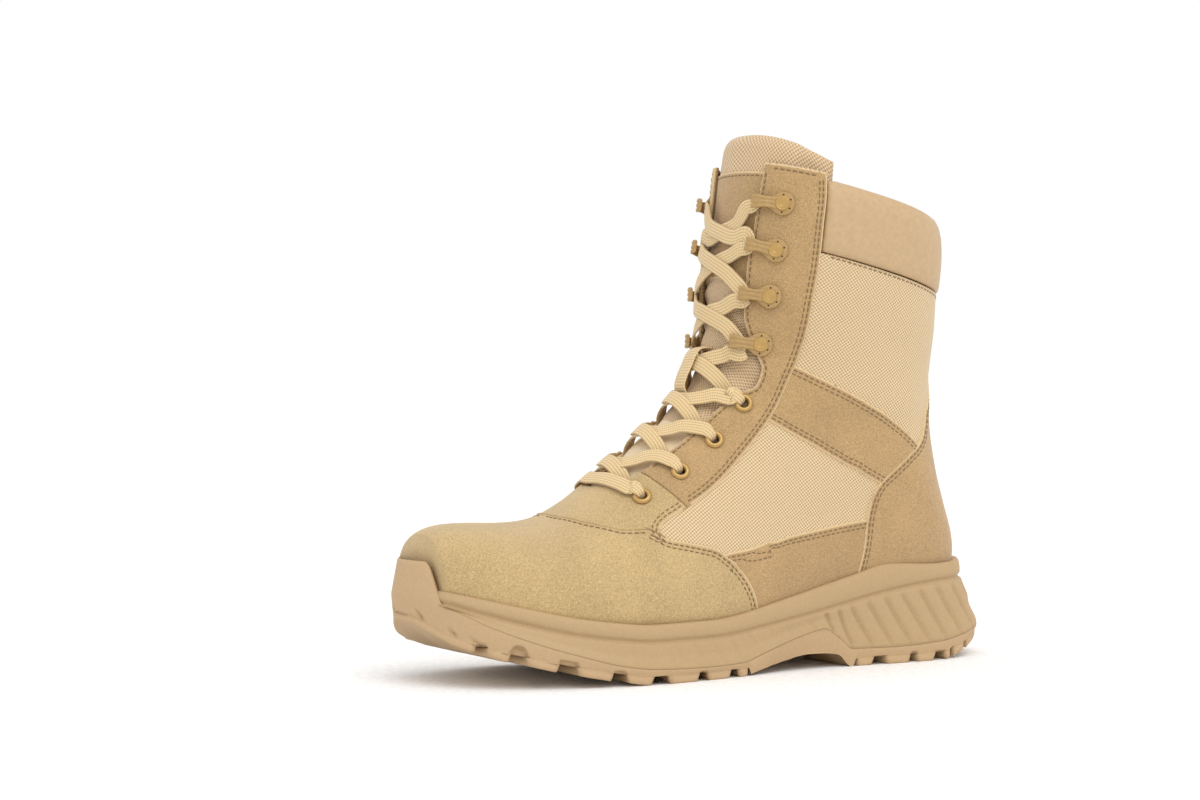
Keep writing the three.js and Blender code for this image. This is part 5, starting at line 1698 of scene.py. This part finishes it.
def build_zip(tape, metal):
    stops = [zip_mid(d, -1.2) for d in np.linspace(14.5, ZIP_LENGTH - 0.6, 40)]
    points, ups = zip(*stops)
    verts, faces, flat = ribbon(points, ups, 2 * ZIP_HALF + 1.2, 1.1, step=1.6)
    piece = make("zip_tape", verts, faces, tape, "zip_tape", nodes=("zip",))
    set_uv(piece, flat)
    shapes = []
    tooth = plate_shape(np.array([(-1.9, -0.42), (1.9, -0.42), (1.9, 0.42), (-1.9, 0.42)]), 0, 0.9, 0.3)
    for k, d in enumerate(np.arange(18, ZIP_LENGTH - 2, 1.45)):
        point, normal = zip_mid(d, -0.7)
        ahead, _ = zip_mid(d + 1, -0.7)
        y = point - ahead
        y /= np.linalg.norm(y)
        x = np.cross(y, normal)
        shift = 0.5 if k % 2 else -0.5
        shapes.append(placed(tooth, (x, y, normal), point + x * shift))
    make("zip_teeth", *join_shapes(shapes), metal, "zip_metal")
    basis, origin = zip_frame()
    at = origin + basis[2] * 0.5
    plate = plate_shape(rounded_box(7.4, 10.0, 1.6), 0, 2.2, 0.6)
    legs = [placed(plate_shape(rounded_box(1.4, 2.6, 0.4), 2.0, 5.1, 0.3), np.eye(3), (s * 1.9, 3.2, 0))
            for s in (1, -1)]
    shapes = join_shapes([placed(shape, basis, at) for shape in (plate, *legs)])
    make("zip_slider_body", *shapes, metal, "zip_metal", nodes=("zip_slider",))
    hinge = origin + basis[1] * 3.2 + basis[2] * 4.5
    angles = np.linspace(math.pi, 2 * math.pi, 13)
    round_end = [(3.2 * math.cos(a), -22.8 + 3.2 * math.sin(a)) for a in angles]
    outline = [(-0.8, 0.6), (-0.8, -3), (-2.4, -7), (-3.1, -22.8), *round_end, (3.1, -22.8), (2.4, -7),
               (0.8, -3), (0.8, 0.6)]
    pull = plate_shape(np.array(outline), -0.6, 0.6, 0.25)
    pin = revolve(((0, 0.9), (0.55, 0.9), (0.7, 0.75), (0.7, -0.75), (0.55, -0.9), (0, -0.9)), 14)
    turned = np.array([(0, 0, 1.0), (0, 1.0, 0), (-1.0, 0, 0)])
    shapes = join_shapes([placed(pull, basis, hinge), placed(placed(pin, turned, (0, 0, 0)), basis, hinge)])
    make("zip_pull_tab", *shapes, metal, "zip_metal", nodes=("zip_pull",), body="zip_pull")


def rounded_box(width, length, radius, count=5):
    corners = []
    for cx, cy, start in ((1, 1, 0), (-1, 1, 90), (-1, -1, 180), (1, -1, 270)):
        for k in range(count):
            a = math.radians(start + 90 * k / (count - 1))
            corners.append((cx * (width / 2 - radius) + radius * math.cos(a),
                            cy * (length / 2 - radius) + radius * math.sin(a)))
    return np.array(corners)


# ------ materials
def linear(code):
    """An sRGB hex colour as linear red, green and blue."""
    values = [int(code[i:i + 2], 16) / 255 for i in (1, 3, 5)]
    return tuple(v / 12.92 if v <= 0.04045 else ((v + 0.055) / 1.055) ** 2.4 for v in values)


def shaded(name):
    """A new material and its node tree."""
    material = bpy.data.materials.new(name)
    material.use_nodes = True
    return material, material.node_tree


def node(tree, kind, links=(), **settings):
    """Adds a node. settings are its own properties, or sockets by name; links are (socket, source)."""
    made = tree.nodes.new(kind)
    for key, value in settings.items():
        if hasattr(made, key):
            setattr(made, key, value)
    for key, value in settings.items():
        if not hasattr(made, key):
            made.inputs[key.replace("_", " ")].default_value = value
    for socket, source in links:
        tree.links.new(source, made.inputs[socket])
    return made


def sum_of(tree, operation, *values):
    """The result of one sum on numbers and on other nodes' outputs."""
    made = node(tree, "ShaderNodeMath", operation=operation)
    for socket, value in zip(made.inputs, values):
        if isinstance(value, float):
            socket.default_value = value
        else:
            tree.links.new(value, socket)
    return made.outputs[0]


def object_place(tree):
    return node(tree, "ShaderNodeTexCoord").outputs["Object"]


def woven_place(tree):
    return node(tree, "ShaderNodeUVMap", uv_map="weave").outputs["UV"]


def noise(tree, place, scale, detail, **settings):
    made = node(tree, "ShaderNodeTexNoise", [("Vector", place)], Scale=scale, Detail=detail, **settings)
    return made.outputs["Fac"]


def mixed(tree, first, second, share):
    made = node(tree, "ShaderNodeMix", [("A", first), ("B", second)], Factor=share)
    return made.outputs["Result"]


def remapped(tree, source, low, high, to_low=0.0, to_high=1.0):
    """A value moved from one range to another."""
    made = node(tree, "ShaderNodeMapRange", [("Value", source)], From_Min=low, From_Max=high,
                To_Min=to_low, To_Max=to_high)
    return made.outputs["Result"]


def scaled(colour, factor):
    return tuple(min(1.0, v * factor) for v in colour[:3]) + (1.0,)


def shades(tree, source, colour, *stops):
    """A ramp between two shades of a colour; each stop is its position and the colour's factor there."""
    made = node(tree, "ShaderNodeValToRGB", [("Fac", source)])
    for element, (position, factor) in zip(made.color_ramp.elements, stops):
        element.position = position
        element.color = scaled(colour, factor)
    return made.outputs["Color"]


def finished(material, colour, height, strength, distance, **settings):
    """Joins a colour and a bump to the material's shader; settings are the shader's sockets by name."""
    tree = material.node_tree
    shader = tree.nodes["Principled BSDF"]
    bump = node(tree, "ShaderNodeBump", [("Height", height)], Strength=strength, Distance=distance)
    tree.links.new(colour, shader.inputs["Base Color"])
    tree.links.new(bump.outputs["Normal"], shader.inputs["Normal"])
    for key, value in settings.items():
        shader.inputs[key.replace("_", " ")].default_value = value
    return material


def suede_material(name, colour):
    """Sueded cowhide: its flesh side sanded to a short nap, which scatters light softly, mottles where
    the nap lies different ways and shows the paler fibre where it is cut."""
    material, tree = shaded(name)
    place = object_place(tree)
    nap = noise(tree, place, 1300.0, 4.0, Roughness=0.8)
    grain = mixed(tree, noise(tree, place, 42.0, 2.0, Roughness=0.5), nap, 0.86)
    rim = node(tree, "ShaderNodeAttribute", attribute_name="from_edge").outputs["Fac"]
    mix = node(tree, "ShaderNodeMix", [("Factor", remapped(tree, rim, 0.75, 1.2, 1.0, 0.0)),
                                       ("A", shades(tree, grain, colour, (0.4, 0.74), (0.6, 1.2)))],
               data_type="RGBA")
    mix.inputs["B"].default_value = (*bpy.context.scene.boot_colours.suede_edge, 1.0)
    return finished(material, mix.outputs["Result"], nap, 0.5, 0.00035, Roughness=0.95,
                    Specular_IOR_Level=0.2, Sheen_Weight=0.25, Sheen_Roughness=0.55)


def woven_material(name, colour, pitch, strength=0.8, roughness=0.8, flat=False):
    """A textured nylon in plain weave: thick yarns over and under one another, so that oval beads of
    light lie staggered, each in front of a dark gap."""
    material, tree = shaded(name)
    coords = object_place(tree)
    place = woven_place(tree) if flat else coords
    turned = node(tree, "ShaderNodeMapping", [("Vector", place)], Rotation=(0.0, 0.0 if flat else 0.17, 0.0))
    parts = node(tree, "ShaderNodeSeparateXYZ", [("Vector", turned.outputs["Vector"])]).outputs
    waves = []
    for axis, length in (("X", pitch), ("Y" if flat else "Z", pitch * 0.88)):
        angle = sum_of(tree, "MULTIPLY", parts[axis], 2 * math.pi / (length * MM))
        waves.append(sum_of(tree, "SINE", angle))
    beads = remapped(tree, sum_of(tree, "MULTIPLY", *waves), -0.75, 0.75)
    height = mixed(tree, beads, noise(tree, coords, 1400.0, 2.0), 0.15)
    # the ramp paints the raised beads lighter and the gaps between them darker: painted highlight and
    # painted shade that follow the weave's bump
    return finished(material, shades(tree, height, colour, (0.12, 0.6), (0.7, 1.2)), height, strength,
                    0.0004, Roughness=roughness, Sheen_Weight=0.2)


def plain_material(name, colour, roughness, noise_scale=300.0, noise_depth=0.08, bump_distance=0.0001,
                   bump_strength=0.3, metallic=0.0):
    """A moulded or coated surface: one colour with faint unevenness and a fine skin texture."""
    material, tree = shaded(name)
    skin_noise = noise(tree, object_place(tree), noise_scale, 3.0)
    tint = shades(tree, skin_noise, colour, (0.3, 1 - noise_depth), (0.7, 1 + noise_depth))
    return finished(material, tint, skin_noise, bump_strength, bump_distance, Roughness=roughness,
                    Metallic=metallic)


BRAID_RIBS = 5
PLAIT_LENGTH = 0.0011


def braid_material(name, colour):
    """A flat braided cord of spun polyester: fine herringbone stitches in ribs along its length."""
    material, tree = shaded(name)
    parts = node(tree, "ShaderNodeSeparateXYZ", [("Vector", woven_place(tree))]).outputs
    across = sum_of(tree, "MULTIPLY", parts["Y"], math.pi * BRAID_RIBS / (size("lace_width") * MM))
    rib = sum_of(tree, "ABSOLUTE", sum_of(tree, "COSINE", across))
    plait = sum_of(tree, "MULTIPLY", parts["X"], 2 * math.pi / PLAIT_LENGTH)
    yarn = sum_of(tree, "SINE", sum_of(tree, "MULTIPLY_ADD", rib, 2.2, plait))
    height = mixed(tree, rib, remapped(tree, yarn, -1.0, 1.0), 0.4)
    # the ramp paints the grooves between the ribs darker and the rib tops lighter: painted shade and painted
    # highlight that follow the bump
    return finished(material, shades(tree, height, colour, (0.1, 0.6), (0.75, 1.1)), height, 0.7, 0.0003,
                    Roughness=0.85, Sheen_Weight=0.2)


# ------ settings a user can change
def colour_setting(name, code, what):
    return bpy.props.FloatVectorProperty(
        name=name, description=what, subtype="COLOR", size=3, min=0.0, max=1.0, default=linear(code)
    )


def size_setting(name, millimetres, what):
    return bpy.props.FloatProperty(
        name=name, description=what, unit="LENGTH", min=0.1 * MM, default=millimetres * MM, precision=4
    )


class BootSizes(bpy.types.PropertyGroup):
    """Sizes of the boot's sewn, laced and riveted pieces."""

    lace_width: size_setting("Lace width", 7.4, "Width of the flat lace")
    lace_thickness: size_setting("Lace thickness", 1.25, "Thickness of the flat lace")
    keeper_width: size_setting("Keeper width", 11.0, "Width of the webbing loop on the tongue")
    stitch_length: size_setting("Stitch length", 2.3, "Length of thread that shows in each stitch")
    stitch_pitch: size_setting("Stitch pitch", 3.1, "Distance from one stitch to the next")
    thread_width: size_setting("Thread width", 0.62, "Thickness of the sewing thread")
    plate_width: size_setting("Hook plate width", 11.6, "Width of a lace hook's plate at its rivet")


class BootColours(bpy.types.PropertyGroup):
    """Colours of the boot's materials."""

    # suede and side suede are one suede in two shades: the vamp's is the lit copy, and the side suede is
    # darkened with painted shade for the panels that turn away from the light
    suede: colour_setting("Suede", "#bca172", "Vamp and throat")
    side_suede: colour_setting("Side suede", "#b19165", "Facings, straps, mudguards and heel counter")
    suede_edge: colour_setting("Suede edge", "#d2b78c", "Cut edges of the suede")
    cloth: colour_setting("Cloth", "#d0b58c", "Woven panels of the upper")
    collar: colour_setting("Collar", "#bb9d75", "Smooth leather of the collar")
    knit: colour_setting("Tongue", "#cbae88", "Padded woven tongue")
    satin: colour_setting("Gusset", "#dcc6a2", "Satin of the tongue's lower part")
    foam: colour_setting("Midsole", "#b1946b", "Moulded foam midsole")
    rubber: colour_setting("Outsole", "#b99b74", "Rubber outsole")
    lace: colour_setting("Lace", "#d6ba8a", "Lace and keeper")
    metal: colour_setting("Hooks", "#a98853", "Lacquered plates and arms of the hooks")
    rivet: colour_setting("Rivets", "#b8955a", "Rivets of the hooks, and the eyelets")
    thread: colour_setting("Thread", "#7c6342", "Stitches")
    lining: colour_setting("Lining", "#8f7348", "Lining inside the shaft")
    insole: colour_setting("Insole", "#37342f", "Removable footbed")


# Each kind: its maker, its name, its colour (a setting's or its own), and what else the maker takes.
MATERIAL_KINDS = {
    "suede": (suede_material, "sueded_split", "suede"),
    # the same suede again, darkened with painted shade
    "side_suede": (suede_material, "sueded_split_sides", "side_suede"),
    "cloth": (woven_material, "textured_nylon", "cloth", 2.0),
    "knit": (woven_material, "tongue_cloth", "knit", 1.9, 0.7, 0.85, True),
    "zip_tape": (woven_material, "zip_tape_weave", "cloth", 1.2),
    "lace": (braid_material, "braided_polyester", "lace"),
    "collar": (plain_material, "smooth_side_leather", "collar", 0.5, 420.0, 0.06, 0.00012, 0.5),
    "satin": (plain_material, "gusset_satin", "satin", 0.55, 350.0, 0.05, 0.0002, 0.4),
    "foam": (plain_material, "moulded_foam", "foam", 0.62, 700.0, 0.04, 0.00006, 0.25),
    "rubber": (plain_material, "carbon_free_rubber", "rubber", 0.7, 900.0, 0.05, 0.00006, 0.25),
    "metal": (plain_material, "lacquered_steel", "metal", 0.42, 600.0, 0.08, 0.00003, 0.2),
    "rivet": (plain_material, "brassed_steel", "rivet", 0.34, 600.0, 0.05, 0.00002, 0.1, 0.6),
    "thread": (plain_material, "waxed_thread", "thread", 0.6, 2500.0, 0.2, 0.00005, 0.4),
    "lining": (plain_material, "lining_mesh", "lining", 0.95, 800.0, 0.15, 0.0002, 0.5),
    "insole": (plain_material, "insole_cloth", "insole", 0.95, 1200.0, 0.2, 0.0002, 0.5),
    "zip_metal": (plain_material, "zip_alloy", "#94804f", 0.35, 500.0, 0.05, 0.00002, 0.1, 0.9),
    # painted shade: a near-black for the hollows of the hooks' dimples
    "dark": (plain_material, "hollow", "#1d150c", 0.9),
    "floor": (plain_material, "pale_floor", "#f4f4f4", 0.9),
}
materials = {}


def material_of(kind):
    """The material of one kind, made when it is first asked for."""
    if kind not in materials:
        maker, name, colour, *details = MATERIAL_KINDS[kind]
        settings = bpy.context.scene.boot_colours
        values = linear(colour) if colour.startswith("#") else getattr(settings, colour)
        materials[kind] = maker(name, values, *details)
    return materials[kind]


# ------ operators
class BootPart(bpy.types.Operator):
    """Builds one part of the boot: each step is a function and the kinds of material it takes."""

    bl_options = {"REGISTER", "UNDO"}
    steps = ()

    def execute(self, context):
        for build, *kinds in self.steps:
            build(*map(material_of, kinds))
        return {"FINISHED"}


class BOOT_OT_shells(BootPart):
    """Lining and cloth of the upper."""

    bl_idname = "boot.shells"
    bl_label = "Lining and cloth"
    steps = ((build_shells, "lining", "cloth"),)


class BOOT_OT_suede(BootPart):
    """Suede panels and the upper's stitches."""

    bl_idname = "boot.suede"
    bl_label = "Suede and stitches"
    steps = ((build_suede, "suede", "side_suede", "thread"),)


class BOOT_OT_sole(BootPart):
    """Midsole, outsole and insole."""

    bl_idname = "boot.sole"
    bl_label = "Sole"
    steps = ((build_midsole, "foam"), (build_outsole, "rubber"), (build_insole, "insole"))


class BOOT_OT_padding(BootPart):
    """Padded collar and tongue."""

    bl_idname = "boot.padding"
    bl_label = "Collar and tongue"
    steps = ((build_collars, "collar"), (build_tongue, "knit", "satin", "side_suede", "thread"))


class BOOT_OT_hardware(BootPart):
    """Eyelets and lace hooks."""

    bl_idname = "boot.hardware"
    bl_label = "Eyelets and hooks"
    steps = ((build_hardware, "metal", "rivet", "dark"),)


class BOOT_OT_lace(BootPart):
    """Lace and its keeper."""

    bl_idname = "boot.lace"
    bl_label = "Lace"
    steps = ((build_lace, "lace"), (build_keeper, "lace"))


class BOOT_OT_zip(BootPart):
    """Side zip with its slider and pull."""

    bl_idname = "boot.zip"
    bl_label = "Side zip"
    steps = ((build_zip, "zip_tape", "zip_metal"),)


class BOOT_OT_stage(BootPart):
    """Floor, lights and camera."""

    bl_idname = "boot.stage"
    bl_label = "Stage"

    def execute(self, context):
        build_stage(context.scene)
        return {"FINISHED"}


def look_along(thing, direction):
    """Turns a light or a camera to look along a direction."""
    thing.rotation_euler = Vector(direction).to_track_quat("-Z", "Y").to_euler()


FLOOR_REACH = 12.0
# each light: its name, its direction, its softness in degrees and its power
LIGHTS = (("key", (0.0, -0.75, -1.0), 50.0, 1.1), ("front", (-1.0, -0.3, -0.8), 70.0, 0.1))
LENS = 81.404
EYE = (0.8004, 1.1241, 0.1572)
TARGET = (0.1479, 0.0, 0.1310)


def build_stage(scene):
    mesh = bpy.data.meshes.new("floor")
    corners = [(x * FLOOR_REACH, y * FLOOR_REACH, 0) for x, y in ((-1, -1), (1, -1), (1, 1), (-1, 1))]
    mesh.from_pydata(corners, [], [(0, 1, 2, 3)])
    mesh.materials.append(material_of("floor"))
    floor = add("floor", mesh)

    world = bpy.data.worlds.new("studio")
    world.use_nodes = True
    background = world.node_tree.nodes["Background"].inputs
    background["Color"].default_value = (1.0, 1.0, 1.0, 1.0)
    background["Strength"].default_value = 1.0
    scene.world = world

    for name, direction, softness, power in LIGHTS:
        light = bpy.data.lights.new(name, "SUN")
        light.angle = math.radians(softness)
        light.energy = power
        look_along(add(name, light), direction)

    data = bpy.data.cameras.new("camera")
    data.lens = LENS
    data.sensor_width = 36.0
    data.sensor_fit = "HORIZONTAL"
    camera = add("camera", data)
    camera.location = EYE
    look_along(camera, Vector(TARGET) - camera.location)
    scene.camera = camera
    scene.view_settings.view_transform = "Standard"
    scene.view_settings.look = "None"


PARTS = (
    BOOT_OT_shells, BOOT_OT_suede, BOOT_OT_sole, BOOT_OT_padding, BOOT_OT_hardware, BOOT_OT_lace,
    BOOT_OT_zip, BOOT_OT_stage,
)


class BOOT_PT_panel(bpy.types.Panel):
    """The boot's sizes and colours, and the buttons that build it."""

    bl_idname = "BOOT_PT_panel"
    bl_label = "Combat Boot"
    bl_space_type = "VIEW_3D"
    bl_region_type = "UI"
    bl_category = "Boot"

    def draw(self, context):
        column = self.layout.column()
        for key in BootSizes.__annotations__:
            column.prop(context.scene.boot_sizes, key)
        for key in BootColours.__annotations__:
            column.prop(context.scene.boot_colours, key)
        for part in PARTS:
            column.operator(part.bl_idname)


def register():
    for entry in (BootSizes, BootColours, *PARTS, BOOT_PT_panel):
        bpy.utils.register_class(entry)
    bpy.types.Scene.boot_sizes = bpy.props.PointerProperty(type=BootSizes)
    bpy.types.Scene.boot_colours = bpy.props.PointerProperty(type=BootColours)


def unregister():
    del bpy.types.Scene.boot_colours
    del bpy.types.Scene.boot_sizes
    for entry in (BOOT_PT_panel, *reversed(PARTS), BootColours, BootSizes):
        bpy.utils.unregister_class(entry)


def main():
    register()
    for part in PARTS:
        family, name = part.bl_idname.split(".")
        result = getattr(getattr(bpy.ops, family), name)()
        if result != {"FINISHED"}:
            raise RuntimeError(f"{part.bl_label} was not built")


if __name__ == "__main__":
    main()
